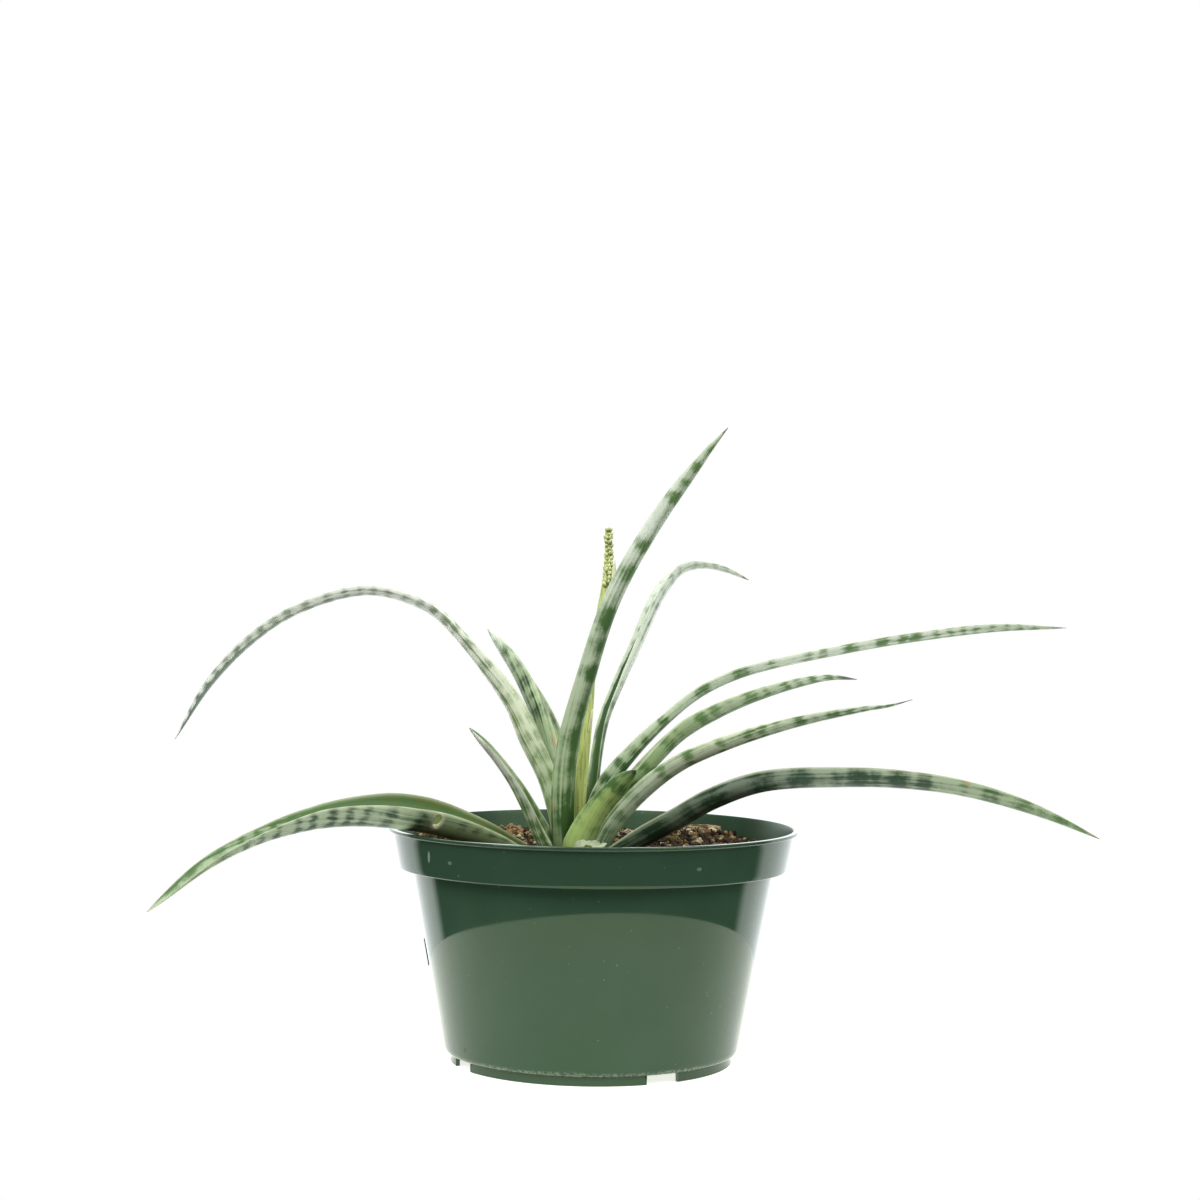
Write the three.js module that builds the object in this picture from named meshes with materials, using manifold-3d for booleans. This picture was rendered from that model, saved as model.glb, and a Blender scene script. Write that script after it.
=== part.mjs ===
// A small silver-banded snake plant in a green plastic nursery pot, in millimetres with +Z up.
// Everything is laid out round the pot's axis, on the bench that it stands on, with the front at -Y.
// At the end the whole plant is moved so that its origin is the middle of the underside of its box.
import * as THREE from "three";
import { mergeVertices } from "three/addons/utils/BufferGeometryUtils.js";
import Module from "manifold-3d";

const wasm = await Module();
wasm.setup();

// The air left between pieces that touch.
const CLEARANCE = 0.3;

// The pot: a thin moulded shell with a wide rim band, a flange on top and a notched foot ring.
const POT = {
  height: 87,
  lipRadius: 77,
  lipThickness: 1.2,
  wall: 1,
  bandTopRadius: 75.5,
  bandBottomRadius: 72.8,
  bandBottom: 72.2,
  bodyTopRadius: 67.9,
  bodyBottomRadius: 55.1,
  cornerRadius: 2.2,
  footHeight: 3.5,
  footRadius: 52.8,
  footWidth: 1.6,
  footDraft: 0.5,
  floor: 1.2,
  floorCorner: 4,
  edge: 0.5,
  facets: 48,
};

// The four notches in the foot, by their angle from the front, and the drain slot above each.
const NOTCH = { angles: [-63, 29.5, 119.5, 207], width: 13, depth: 8, drainWidth: 10, drainDepth: 6 };

// The soil: its level at the pot's axis, how much it falls to the right, the heap of grit at the back
// right, and the size of the ripples all over it.
const SOIL = {
  level: 79,
  fall: 0.02,
  heap: [38, 38],
  heapHeight: 3.8,
  heapRadius: 14,
  ripple: 0.5,
  sectors: 32,
};

// The crown that carries the leaves, below the soil.
const CROWN = { centre: [-6, 0], bottom: 55, top: 69.6, bottomRadius: 7, topRadius: 9, sides: 20 };

// How finely a leaf is cut into sections, and the points along each side of a section.
const LEAF_STEP = 9.5;
const OUTER_POINTS = 8;
const INNER_POINTS = 6;

// A leaf narrows to its point from this fraction of its length, and is cut off this wide.
const TIP_START = 0.8;
const TIP_WIDTH = 0.9;

// The margin of a leaf is this much of its thickness in the middle.
const MARGIN = 0.35;

// The leaves, from the front of the plant to its back, each cut to fit round those before it.
// path: the middle of the blade from its base to its tip.
// widths: the width across the channel, at even steps along the length.
// cup: half the angle that the section bends through, in degrees, from base to tip.
// roll: the turn about the path, in degrees, at even steps, where 0 opens the channel upwards.
// thickness: the flesh in the middle of the blade, at its base.
const LEAVES = {
  leaf_short_right: {
    path: [[-8, -6, 72], [-5, -9, 81], [-1.5, -11, 88.5], [3, -13, 96], [7, -14.5, 101], [12, -16.5, 106.5],
      [15.5, -17.5, 109.5]],
    widths: [10, 12.5, 11.5, 9.5, 8, 6.5],
    cup: [65, 50],
    roll: [-60, -50],
    thickness: 2.2,
  },
  leaf_short_left: {
    path: [[-12, -4, 72], [-16, -7.5, 78], [-20, -10, 86], [-28, -17, 102], [-36.5, -23, 114.5],
      [-45.5, -29, 125]],
    widths: [10, 12.5, 9.3, 6.7, 5.2, 5],
    cup: [85, 95, 95],
    roll: [-37, -41, -37, -34],
    thickness: 2.2,
  },
  leaf_tall_centre: {
    path: [[-10, -3.5, 73], [-11, -5, 90], [-10.8, -6.5, 103], [-9.3, -8, 118], [-3.4, -11.5, 141.8],
      [6.2, -17, 172], [21.3, -23, 200], [39.3, -29, 225.5], [47, -31, 235]],
    widths: [8, 10, 9.4, 8.4, 7.8, 7.5, 7, 6, 4],
    cup: [75, 55],
    roll: [-40, -40],
    thickness: 2.6,
  },
  leaf_low_right: {
    path: [[-2, -3, 71], [6, -8, 75.5], [17.5, -12, 83], [32, -17, 91.7], [44.5, -21, 99.2],
      [62, -25, 105.8], [92.5, -32, 108.3], [111, -36, 108.1], [130, -39, 106], [147, -41, 102],
      [163, -43, 96.6], [180.5, -45, 89]],
    widths: [10, 13.5, 13.8, 13, 12, 10.6, 8.5, 5.5],
    cup: [70, 85, 80],
    roll: [-20, -20],
    thickness: 2.4,
  },
  leaf_low_left: {
    path: [[-11, -2, 70], [-19, -5, 73.5], [-29, -10, 78.5], [-39, -16, 84], [-57.5, -26, 91.2],
      [-67.5, -31, 93.3], [-81, -37, 94.3], [-95, -43, 93.4], [-108, -48, 90.3], [-122.5, -52, 84.6],
      [-136, -56, 77], [-155.8, -61, 61]],
    widths: [10, 16.5, 20, 20, 15.5, 9.5, 7, 5],
    cup: [80, 95, 90, 70],
    roll: [-15, -12, -12, 0, -10, -40],
    thickness: 2.4,
  },
  leaf_lower_right: {
    path: [[-2.5, -2.5, 72], [2.5, -5, 77], [8, -8, 88.5], [19, -11, 101.5], [32, -14, 111.7],
      [48, -17, 119.2], [65, -20, 125.2], [81.5, -23, 129.8], [98, -26, 133.3], [107.5, -27, 134.8],
      [115.5, -28, 137.2]],
    widths: [8, 11, 11.5, 10.5, 9, 7, 5, 2],
    cup: [75, 80, 75],
    roll: [-20, -15],
    thickness: 2.3,
  },
  leaf_middle_right: {
    path: [[-3, -0.5, 72], [0, -1, 79], [7, 0, 94.5], [19, 1, 109], [33, 3, 123], [47, 4, 130.8],
      [61, 5, 136.5], [76, 6, 141.2], [88.5, 6.5, 143.6], [99, 7, 143.2]],
    widths: [9, 12.9, 14.3, 14.3, 10, 7.4, 5],
    cup: [75, 80, 75],
    roll: [0, -2, -14, -15],
    thickness: 2.3,
  },
  leaf_upper_right: {
    path: [[-3.8, 2, 72], [-2.1, 3, 85], [2.8, 5, 98.6], [13.3, 9, 112.5], [25.2, 13, 124.8], [40, 17, 137],
      [57, 20, 145], [98, 25, 154.6], [126, 28, 159.5], [154, 30, 163], [182.8, 32, 163.4]],
    widths: [7, 12, 8.6, 8.8, 8.5, 8.5, 8.6, 6.5],
    cup: [70, 80, 80],
    roll: [-25, -32, -16, -5, -4, -2, 0],
    thickness: 2.2,
  },
  leaf_arching_left: {
    path: [[-8.3, 1.5, 73.3], [-12.3, 2, 80.3], [-14.6, 3, 91.2], [-18.5, 5, 104.4], [-25.3, 8, 118.3],
      [-32.5, 11, 133.3], [-53, 17, 158.8], [-64.5, 19, 168.4], [-87.5, 21.5, 174.6], [-115.9, 24, 166.6],
      [-133.8, 25, 154.4], [-149, 26, 138], [-162.2, 27, 116.4]],
    widths: [7.5, 9.8, 13, 12.5, 9, 8.7, 8.3, 7.9, 7.1, 5.6],
    cup: [70, 80, 80],
    roll: [62, 46, 5, 1, 0, 0],
    thickness: 2.3,
  },
  leaf_behind_left: {
    path: [[-8.5, 4, 73], [-12.5, 6.5, 82], [-13.2, 10, 96], [-15.3, 16, 111], [-19, 23, 123.5],
      [-29.6, 34, 143.4], [-42.7, 44, 160]],
    widths: [10, 13, 14.5, 14, 13.6, 11, 9],
    cup: [85, 100, 100, 90, 80],
    roll: [37, 41, 36, 43, 44],
    thickness: 2.2,
  },
  leaf_back_curled: {
    path: [[-4.6, 5, 73], [-2.2, 7.5, 82], [-0.2, 12, 100], [3.5, 21, 124.5], [9.4, 29, 140],
      [16.3, 37, 155.5], [23.2, 45, 171.3], [27.7, 49, 178.8], [34.1, 53, 184.8], [43.6, 57, 186.2],
      [52.5, 60, 184.3], [61, 62, 180.8]],
    widths: [7.7, 7.3, 6.3, 6.8, 8, 9.7, 10.5, 5.6, 5.9],
    cup: [75, 85, 80],
    roll: [-1, -2, -17, -28, -24, 6],
    thickness: 1.8,
  },
};

// The small hole that is eaten through the near side of the low left leaf.
const HOLE = { centre: [-57, -34, 91.3], width: 3, height: 5, depth: 14 };

// The flower stalk, and the tight spike of buds that it ends in.
const STALK = {
  path: [[-5.5, 1.5, 74], [-5, 2, 100], [-3.6, 3, 119], [-2.3, 4, 134], [-0.6, 5, 153], [1.6, 6, 168],
    [3.5, 6.5, 180], [4.2, 7, 189], [4.5, 7, 199]],
  radius: 1.9,
  tipRadius: 0.9,
  sides: 8,
  steps: 12,
};
const BUDS = { from: 0.82, rows: 7, perRow: 3, out: 1, size: [1, 1, 2.1] };

// Thin dry scales: the two bracts of the stalk, and the papery bits left at the foot of the plant.
const SCALES = {
  stalk_bract_upper: {
    path: [[5.2, 5, 170.5], [6.3, 4.8, 178], [7, 4.9, 187]],
    widths: [2, 2.2, 1.4],
    cup: [50, 40],
    roll: [60, 60],
    thickness: 0.6,
  },
  stalk_bract_lower: {
    path: [[-2.4, 1.6, 123], [-1.7, 1.5, 127], [-0.8, 1.9, 131]],
    widths: [2.6, 2.8, 1.8],
    cup: [50, 40],
    roll: [20, 20],
    thickness: 0.6,
  },
  dry_sheath: {
    path: [[-7.5, -12.5, 79], [-5, -14.5, 81.8], [-1, -15.2, 82.3], [2.5, -15, 81.3], [5, -14.5, 82.2]],
    widths: [3, 3.6, 3.2, 2.6],
    cup: [60, 60],
    roll: [0, 0],
    thickness: 0.7,
  },
  dry_scrap: {
    path: [[-15.5, 0.5, 79.6], [-16.6, -0.4, 83.5], [-17.4, -0.6, 87.5]],
    widths: [3, 3.2, 2],
    cup: [50, 40],
    roll: [60, 60],
    thickness: 0.7,
  },
};

// The larger bark and wood chips on the soil: where they lie, their size, and how they are turned.
const CHIPS = {
  bark_chip_left: { at: [-31, 46], size: [7, 6, 4.2], turn: 20, tilt: 8 },
  bark_chip_behind: { at: [-12, 44], size: [9, 5, 3], turn: -35, tilt: -6 },
  bark_chip_front: { at: [-34, -38], size: [8, 6, 3.5], turn: 70, tilt: 5 },
  bark_chip_right: { at: [47, 2], size: [6, 5, 3.5], turn: -15, tilt: 10 },
  bark_chip_front_right: { at: [22, -46], size: [9, 6, 3.5], turn: 40, tilt: -8 },
  wood_chip_flat: { at: [43.5, 46], size: [15, 5, 4.5], turn: 6, tilt: 2 },
};

// The bare sticker on the left of the pot, by its angle from the front.
const LABEL = { from: -100, to: -87, bottom: 34.5, top: 44.5, thickness: 0.4, steps: 4 };

// The pieces' colours and how dull they are.
const LOOKS = {
  pot: { color: 0x24503a, roughness: 0.3 },
  soil: { color: 0x4a3325, roughness: 1 },
  leaf: { color: 0x6f9a6c, roughness: 0.5 },
  crown: { color: 0xb9c98a, roughness: 0.6 },
  stalk: { color: 0x9db35a, roughness: 0.6 },
  dry: { color: 0xd9cfae, roughness: 0.9 },
  chip: { color: 0xa9825c, roughness: 0.95 },
  label: { color: 0x3a4a48, roughness: 0.6 },
};

const radians = THREE.MathUtils.degToRad;
const vector = (point) => new THREE.Vector3(...point);

// A number that follows a list of values given at even steps, at the fraction s of the way along.
function along(values, s) {
  const place = s * (values.length - 1);
  const index = Math.min(Math.floor(place), values.length - 2);
  return THREE.MathUtils.lerp(values[index], values[index + 1], place - index);
}

// A solid for joining and cutting, from a closed geometry.
function solidOf(geometry) {
  geometry.deleteAttribute("normal");
  geometry.deleteAttribute("uv");
  const merged = mergeVertices(geometry, 1e-4);
  const mesh = new wasm.Mesh({
    numProp: 3,
    vertProperties: new Float32Array(merged.attributes.position.array),
    triVerts: new Uint32Array(merged.index.array),
  });
  return new wasm.Manifold(mesh);
}

// A geometry from a solid.
function geometryOf(solid) {
  const mesh = solid.getMesh();
  const geometry = new THREE.BufferGeometry();
  geometry.setAttribute("position", new THREE.BufferAttribute(new Float32Array(mesh.vertProperties), 3));
  geometry.setIndex(new THREE.BufferAttribute(new Uint32Array(mesh.triVerts), 1));
  geometry.computeVertexNormals();
  return geometry;
}

// The largest of the pieces that a cut has left.
function largestPiece(solid) {
  const pieces = solid.decompose();
  return pieces.reduce((best, piece) => (piece.volume() > best.volume() ? piece : best));
}

// A closed solid through rings of equally many points. Each end is closed by caps(ring), a list of
// triangles of the ring's own point numbers, which face out at the start when the rings run upwards.
function loft(rings, caps) {
  const count = rings[0].length;
  const points = rings.flat();
  const faces = [];
  for (let ring = 0; ring < rings.length - 1; ring += 1) {
    for (let point = 0; point < count; point += 1) {
      const next = (point + 1) % count;
      const a = ring * count + point;
      const b = ring * count + next;
      faces.push(a, b, b + count, a, b + count, a + count);
    }
  }
  const last = (rings.length - 1) * count;
  for (const [a, b, c] of caps) {
    faces.push(a, c, b);
    faces.push(last + a, last + b, last + c);
  }
  const geometry = new THREE.BufferGeometry().setFromPoints(points);
  geometry.setIndex(faces);
  return solidOf(geometry);
}

// The section of a leaf: an arc bent through twice the cup angle, thick in the middle and thin at its
// margins, with its hollow side up and its centre halfway between its keel and its margins.
function leafSection(width, thickness, cup, grow) {
  const radius = width / 2 / Math.sin(cup);
  const middle = (radius * (1 + Math.cos(cup))) / 2;
  const reach = cup + grow / radius;
  const ring = [];
  for (let i = 0; i < OUTER_POINTS; i += 1) {
    const angle = reach * ((2 * i) / (OUTER_POINTS - 1) - 1);
    const r = radius + grow;
    ring.push([r * Math.sin(angle), middle - r * Math.cos(angle)]);
  }
  for (let i = 0; i < INNER_POINTS; i += 1) {
    const across = 1 - (2 * i) / (INNER_POINTS - 1);
    const flesh = thickness * (1 - (1 - MARGIN) * across * across);
    const r = Math.max(radius - flesh - grow, radius * 0.1);
    ring.push([r * Math.sin(reach * across), middle - r * Math.cos(reach * across)]);
  }
  return ring;
}

// The triangles that close a leaf's section: a strip between its outer and its inner side.
function leafCaps() {
  const outer = (i) => OUTER_POINTS - 1 - i;
  const inner = (i) => OUTER_POINTS + i;
  const triangles = [];
  let i = 0;
  let j = 0;
  while (i < OUTER_POINTS - 1 || j < INNER_POINTS - 1) {
    const outerNext = (i + 1) / (OUTER_POINTS - 1);
    const innerNext = (j + 1) / (INNER_POINTS - 1);
    if (outerNext <= innerNext) {
      triangles.push([outer(i), inner(j), outer(i + 1)]);
      i += 1;
    } else {
      triangles.push([outer(i), inner(j), inner(j + 1)]);
      j += 1;
    }
  }
  return triangles;
}

// A leaf blade, carried along its path with its channel open upwards, or grown by a clearance all round.
function leafBlade({ path, widths, cup, roll, thickness }, grow = 0) {
  const spine = new THREE.CatmullRomCurve3(path.map(vector), false, "centripetal");
  const heading = spine.getPoint(1).sub(spine.getPoint(0)).setZ(0).normalize();
  const level = new THREE.Vector3(0, 0, 1).cross(heading);
  const steps = Math.max(5, Math.round(spine.getLength() / LEAF_STEP));
  const rings = [];
  for (let step = 0; step <= steps; step += 1) {
    const s = step / steps;
    const tangent = spine.getTangentAt(s);
    const centre = spine.getPointAt(s);
    if (step === 0) centre.addScaledVector(tangent, -grow);
    if (step === steps) centre.addScaledVector(tangent, grow);
    const across = level.clone().addScaledVector(tangent, -level.dot(tangent)).normalize();
    across.applyAxisAngle(tangent, radians(along(roll, s)));
    const up = tangent.clone().cross(across);
    const point = Math.max(0, (s - TIP_START) / (1 - TIP_START));
    const width = Math.max(TIP_WIDTH, along(widths, s) * (1 - point * point) ** 0.7);
    const flesh = Math.min(thickness * (1 - 0.5 * s), width * 0.3);
    const section = leafSection(width, flesh, radians(along(cup, s)), grow);
    rings.push(section.map(([x, y]) => centre.clone().addScaledVector(across, x).addScaledVector(up, y)));
  }
  return loft(rings, leafCaps());
}

// A round stem along a path, thinner at its tip.
function stem({ path, radius, tipRadius, sides, steps }, grow = 0) {
  const spine = new THREE.CatmullRomCurve3(path.map(vector), false, "centripetal");
  const rings = [];
  for (let step = 0; step <= steps; step += 1) {
    const s = step / steps;
    const centre = spine.getPointAt(s);
    const r = THREE.MathUtils.lerp(radius, tipRadius, s) + grow;
    const ring = [];
    for (let side = 0; side < sides; side += 1) {
      const angle = (2 * Math.PI * side) / sides;
      ring.push(centre.clone().add(new THREE.Vector3(r * Math.cos(angle), r * Math.sin(angle), 0)));
    }
    rings.push(ring);
  }
  const caps = [];
  for (let side = 1; side < sides - 1; side += 1) caps.push([0, side, side + 1]);
  return loft(rings, caps);
}

// The flower stalk with its spike: whorls of small upright buds packed round its upper end.
function flowerStalk(grow = 0) {
  const spine = new THREE.CatmullRomCurve3(STALK.path.map(vector), false, "centripetal");
  let solid = stem(STALK, grow);
  for (let row = 0; row < BUDS.rows; row += 1) {
    const centre = spine.getPointAt(THREE.MathUtils.lerp(BUDS.from, 1, row / (BUDS.rows - 1)));
    for (let i = 0; i < BUDS.perRow; i += 1) {
      const angle = (2 * Math.PI * (i + (row % 2) / 2)) / BUDS.perRow;
      const bud = new THREE.IcosahedronGeometry(1, 0);
      bud.scale(BUDS.size[0] + grow, BUDS.size[1] + grow, BUDS.size[2] + grow);
      bud.translate(centre.x + BUDS.out * Math.cos(angle), centre.y + BUDS.out * Math.sin(angle), centre.z);
      solid = solid.add(solidOf(bud));
    }
  }
  return solid;
}

// The outer radius of the pot's body at a height, below its band.
function bodyRadius(z) {
  const share = (z - POT.footHeight) / (POT.bandBottom - POT.footHeight);
  return THREE.MathUtils.lerp(POT.bodyBottomRadius, POT.bodyTopRadius, share);
}

// The pot's profile, up the outside and down the inside, turned about its axis.
function potShell() {
  const { wall, lipRadius, lipThickness, height, bandBottom, edge, floorCorner } = POT;
  const bandSlope = (POT.bandTopRadius - POT.bandBottomRadius) / (height - lipThickness - bandBottom);
  const innerBand = (z) => POT.bandBottomRadius - wall + bandSlope * (z - bandBottom);
  const floorTop = POT.footHeight + POT.floor;
  const footInner = POT.footRadius - POT.footWidth;
  const footTop = POT.footRadius - POT.footDraft;
  const profile = [[0, POT.footHeight], [footInner, POT.footHeight], [footInner, 0], [POT.footRadius, 0]];
  profile.push([footTop, POT.footHeight]);
  const cornerSteps = 4;
  for (let i = 1; i <= cornerSteps; i += 1) {
    const turn = (Math.PI / 2) * (i / cornerSteps);
    const z = POT.footHeight + POT.cornerRadius * (1 - Math.cos(turn));
    profile.push([THREE.MathUtils.lerp(footTop, bodyRadius(z), Math.sin(turn)), z]);
  }
  profile.push([POT.bodyTopRadius, bandBottom]);
  profile.push([POT.bandBottomRadius - edge, bandBottom], [POT.bandBottomRadius, bandBottom + edge]);
  profile.push([POT.bandTopRadius, height - lipThickness]);
  profile.push([lipRadius - edge, height - lipThickness], [lipRadius, height - lipThickness / 2]);
  profile.push([lipRadius - edge, height]);
  profile.push([innerBand(height), height], [innerBand(bandBottom + wall), bandBottom + wall]);
  profile.push([bodyRadius(bandBottom) - wall, bandBottom]);
  profile.push([bodyRadius(floorTop + floorCorner) - wall, floorTop + floorCorner]);
  profile.push([bodyRadius(floorTop) - wall - floorCorner, floorTop], [0, floorTop]);
  const lathe = new THREE.LatheGeometry(profile.map(([r, z]) => new THREE.Vector2(r, z)), POT.facets);
  lathe.rotateX(Math.PI / 2);
  return solidOf(lathe);
}

// The pot, with its foot ring notched and a drain slot through the floor at each notch.
function pot() {
  let solid = potShell();
  for (const angle of NOTCH.angles) {
    const inner = POT.footRadius - POT.footWidth;
    const gap = new THREE.BoxGeometry(NOTCH.width, NOTCH.depth, 2 * POT.footHeight);
    gap.translate(0, -POT.footRadius, 0);
    const slot = new THREE.BoxGeometry(NOTCH.drainWidth, NOTCH.drainDepth, 4 * POT.floor);
    slot.translate(0, -inner + NOTCH.drainDepth / 2, POT.footHeight);
    for (const cutter of [gap, slot]) {
      cutter.rotateZ(radians(angle));
      solid = solid.subtract(solidOf(cutter));
    }
  }
  return solid;
}

// The height of the soil, which is lower on the right, heaped at the back right and rippled all over.
function soilHeight(x, y) {
  const fromHeap = Math.hypot(x - SOIL.heap[0], y - SOIL.heap[1]) / SOIL.heapRadius;
  const heap = SOIL.heapHeight * Math.exp(-(fromHeap ** 2) / 2);
  const ripple = Math.sin(x / 4.1 + 1) * Math.cos(y / 3.7) + 0.6 * Math.sin(x / 2.3 - y / 2.9);
  return SOIL.level - SOIL.fall * x + heap + SOIL.ripple * ripple;
}

// The soil, which fills the pot up to a rippled top.
function soilMound() {
  const { sectors } = SOIL;
  const floorTop = POT.footHeight + POT.floor + CLEARANCE;
  const rings = [];
  const ring = (radius, height) => {
    const points = [];
    for (let sector = 0; sector < sectors; sector += 1) {
      const angle = (2 * Math.PI * sector) / sectors;
      const x = radius * Math.cos(angle);
      const y = radius * Math.sin(angle);
      points.push(new THREE.Vector3(x, y, height(x, y)));
    }
    rings.push(points);
  };
  const wallRadius = (z) => (bodyRadius(z) - POT.wall - CLEARANCE) * Math.cos(Math.PI / POT.facets);
  ring(wallRadius(floorTop) - POT.floorCorner, () => floorTop);
  ring(wallRadius(floorTop + POT.floorCorner), () => floorTop + POT.floorCorner);
  ring(wallRadius(POT.bandBottom), () => POT.bandBottom + 2 * CLEARANCE);
  ring(POT.bandBottomRadius - POT.wall - 2 * CLEARANCE, () => POT.bandBottom + POT.wall + CLEARANCE);
  for (const radius of [71.2, 62, 52, 42, 32, 22, 12]) ring(radius, soilHeight);
  const caps = [];
  for (let sector = 1; sector < sectors - 1; sector += 1) caps.push([0, sector, sector + 1]);
  return loft(rings, caps);
}

// A rough chip that lies on the soil, a little sunk into it, or grown by a clearance all round.
function chip({ at: [x, y], size: [length, width, height], turn, tilt }, grow = 0) {
  const stone = new THREE.IcosahedronGeometry(1, 0);
  stone.scale(length / 2 + grow, width / 2 + grow, height / 2 + grow);
  stone.rotateY(radians(tilt));
  stone.rotateZ(radians(turn));
  stone.translate(x, y, soilHeight(x, y) + height * 0.3);
  return solidOf(stone);
}

// The crown: a short stem, wider at the top.
function crown(grow = 0) {
  const { centre, bottom, top, bottomRadius, topRadius, sides } = CROWN;
  const height = top - bottom + 2 * grow;
  const cone = new THREE.CylinderGeometry(topRadius + grow, bottomRadius + grow, height, sides);
  cone.rotateX(Math.PI / 2);
  cone.translate(centre[0], centre[1], (top + bottom) / 2);
  return solidOf(cone);
}

// The sticker: a thin plate that follows the pot's wall.
function label() {
  const rings = [];
  for (let step = 0; step <= LABEL.steps; step += 1) {
    const angle = radians(THREE.MathUtils.lerp(LABEL.from, LABEL.to, step / LABEL.steps));
    const at = (r, z) => new THREE.Vector3(r * Math.sin(angle), -r * Math.cos(angle), z);
    const low = bodyRadius(LABEL.bottom) + CLEARANCE;
    const high = bodyRadius(LABEL.top) + CLEARANCE;
    rings.push([at(low, LABEL.bottom), at(high, LABEL.top), at(high + LABEL.thickness, LABEL.top),
      at(low + LABEL.thickness, LABEL.bottom)]);
  }
  return loft(rings, [[0, 1, 2], [0, 2, 3]]);
}

// The hole in the low left leaf, through its near side only.
function eatenHole() {
  const bore = new THREE.CylinderGeometry(1, 1, HOLE.depth, 10);
  bore.scale(HOLE.width / 2, 1, HOLE.height / 2);
  bore.translate(...HOLE.centre);
  return solidOf(bore);
}

// The pieces of the plant, each cut back to clear those made before it.
const pieces = [];
const plant = new THREE.Group();

function addPiece(name, solid, look) {
  const material = new THREE.MeshStandardMaterial({ ...LOOKS[look], metalness: 0 });
  const mesh = new THREE.Mesh(geometryOf(solid), material);
  mesh.name = name;
  plant.add(mesh);
}

function fitPiece(name, build, look, hole = null) {
  let solid = build(0);
  for (const earlier of pieces) solid = solid.subtract(earlier);
  if (hole) solid = solid.subtract(hole);
  addPiece(name, largestPiece(solid), look);
  pieces.push(build(CLEARANCE));
}

// The stalk stands in front of the middle and upper right leaves and behind those before them.
for (const [name, leaf] of Object.entries(LEAVES)) {
  if (name === "leaf_middle_right") fitPiece("flower_stalk", flowerStalk, "stalk");
  fitPiece(name, (grow) => leafBlade(leaf, grow), "leaf", name === "leaf_low_left" ? eatenHole() : null);
}
for (const [name, scale] of Object.entries(SCALES)) {
  fitPiece(name, (grow) => leafBlade(scale, grow), "dry");
}
fitPiece("crown", crown, "crown");
for (const [name, lump] of Object.entries(CHIPS)) {
  fitPiece(name, (grow) => chip(lump, grow), "chip");
}
fitPiece("soil", soilMound, "soil");
addPiece("pot", pot(), "pot");
addPiece("blank_label", label(), "label");

// The origin is moved to the middle of the underside of the box round everything.
const box = new THREE.Box3().setFromObject(plant, true);
const middle = box.getCenter(new THREE.Vector3());
plant.position.set(-middle.x, -middle.y, -box.min.z);

export default plant;
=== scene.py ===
"""A small silver-banded snake plant in a green nursery pot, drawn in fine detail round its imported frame.

Every shape is a surface of two parameters worked out with numpy as whole arrays. Sizes in the tables
are in millimetres round the pot's axis, with the front at -Y; the meshes are in metres in the frame.
"""
import math

import bpy
import numpy as np
from mathutils import Matrix, Vector


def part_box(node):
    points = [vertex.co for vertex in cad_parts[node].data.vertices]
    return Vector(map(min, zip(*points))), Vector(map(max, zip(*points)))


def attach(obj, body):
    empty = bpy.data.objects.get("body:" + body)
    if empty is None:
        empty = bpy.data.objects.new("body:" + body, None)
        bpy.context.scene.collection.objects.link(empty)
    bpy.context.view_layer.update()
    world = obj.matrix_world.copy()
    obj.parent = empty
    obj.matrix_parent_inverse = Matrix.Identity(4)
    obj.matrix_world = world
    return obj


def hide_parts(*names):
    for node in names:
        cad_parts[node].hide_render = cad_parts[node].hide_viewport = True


bl_info = {
    "name": "Potted snake plant",
    "version": (1, 0, 0),
    "blender": (4, 5, 0),
    "location": "3D View > Sidebar > Snake Plant",
    "description": "Leaves, bud spike, soil and nursery pot of a small snake plant, round its packed frame",
    "category": "Add Mesh",
}

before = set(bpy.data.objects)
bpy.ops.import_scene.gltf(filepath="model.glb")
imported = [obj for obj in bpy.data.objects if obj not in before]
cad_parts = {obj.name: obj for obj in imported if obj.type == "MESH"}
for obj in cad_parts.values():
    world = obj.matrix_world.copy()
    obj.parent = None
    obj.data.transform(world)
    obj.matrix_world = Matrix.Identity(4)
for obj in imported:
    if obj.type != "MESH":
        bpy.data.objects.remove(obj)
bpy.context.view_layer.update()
POT_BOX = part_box("pot")
POT_AXIS = np.array([(POT_BOX[0].x + POT_BOX[1].x) / 2, (POT_BOX[0].y + POT_BOX[1].y) / 2, 0.0])
MM = 0.001

# The pot: a thin moulded shell with a rim band, a flange on top and a notched foot ring.
POT = {
    "height": 87.0,
    "lip_radius": 77.0,
    "lip_thickness": 1.2,
    "wall": 1.0,
    "band_top_radius": 75.5,
    "band_bottom_radius": 72.8,
    "band_bottom": 72.2,
    "body_top_radius": 67.9,
    "body_bottom_radius": 55.1,
    "corner_radius": 2.2,
    "foot_height": 3.5,
    "foot_radius": 52.8,
    "foot_width": 1.6,
    "foot_draft": 0.5,
    "floor": 1.2,
    "floor_corner": 4.0,
}

# The notches in the foot with the drains above them, and the label. Angles run from the front to the right.
NOTCHES = {"angles": (-63.0, 29.5, 119.5, 207.0), "width": 13.0, "drain_width": 10.0, "drain_depth": 6.0}
LABEL = {"angles": (-100.0, -87.0), "heights": (34.5, 44.5), "gap": 0.12, "thickness": 0.2}

# The soil: its level at the pot's axis, its fall to the right, and the heap of grit at the back right.
# Its gap is what it keeps from the pot's wall and floor.
SOIL = {
    "level": 79.0,
    "fall": 0.02,
    "heap": (38.0, 38.0),
    "heap_height": 3.8,
    "heap_radius": 14.0,
    "ripple": 0.5,
    "gap": 0.3,
}

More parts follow.
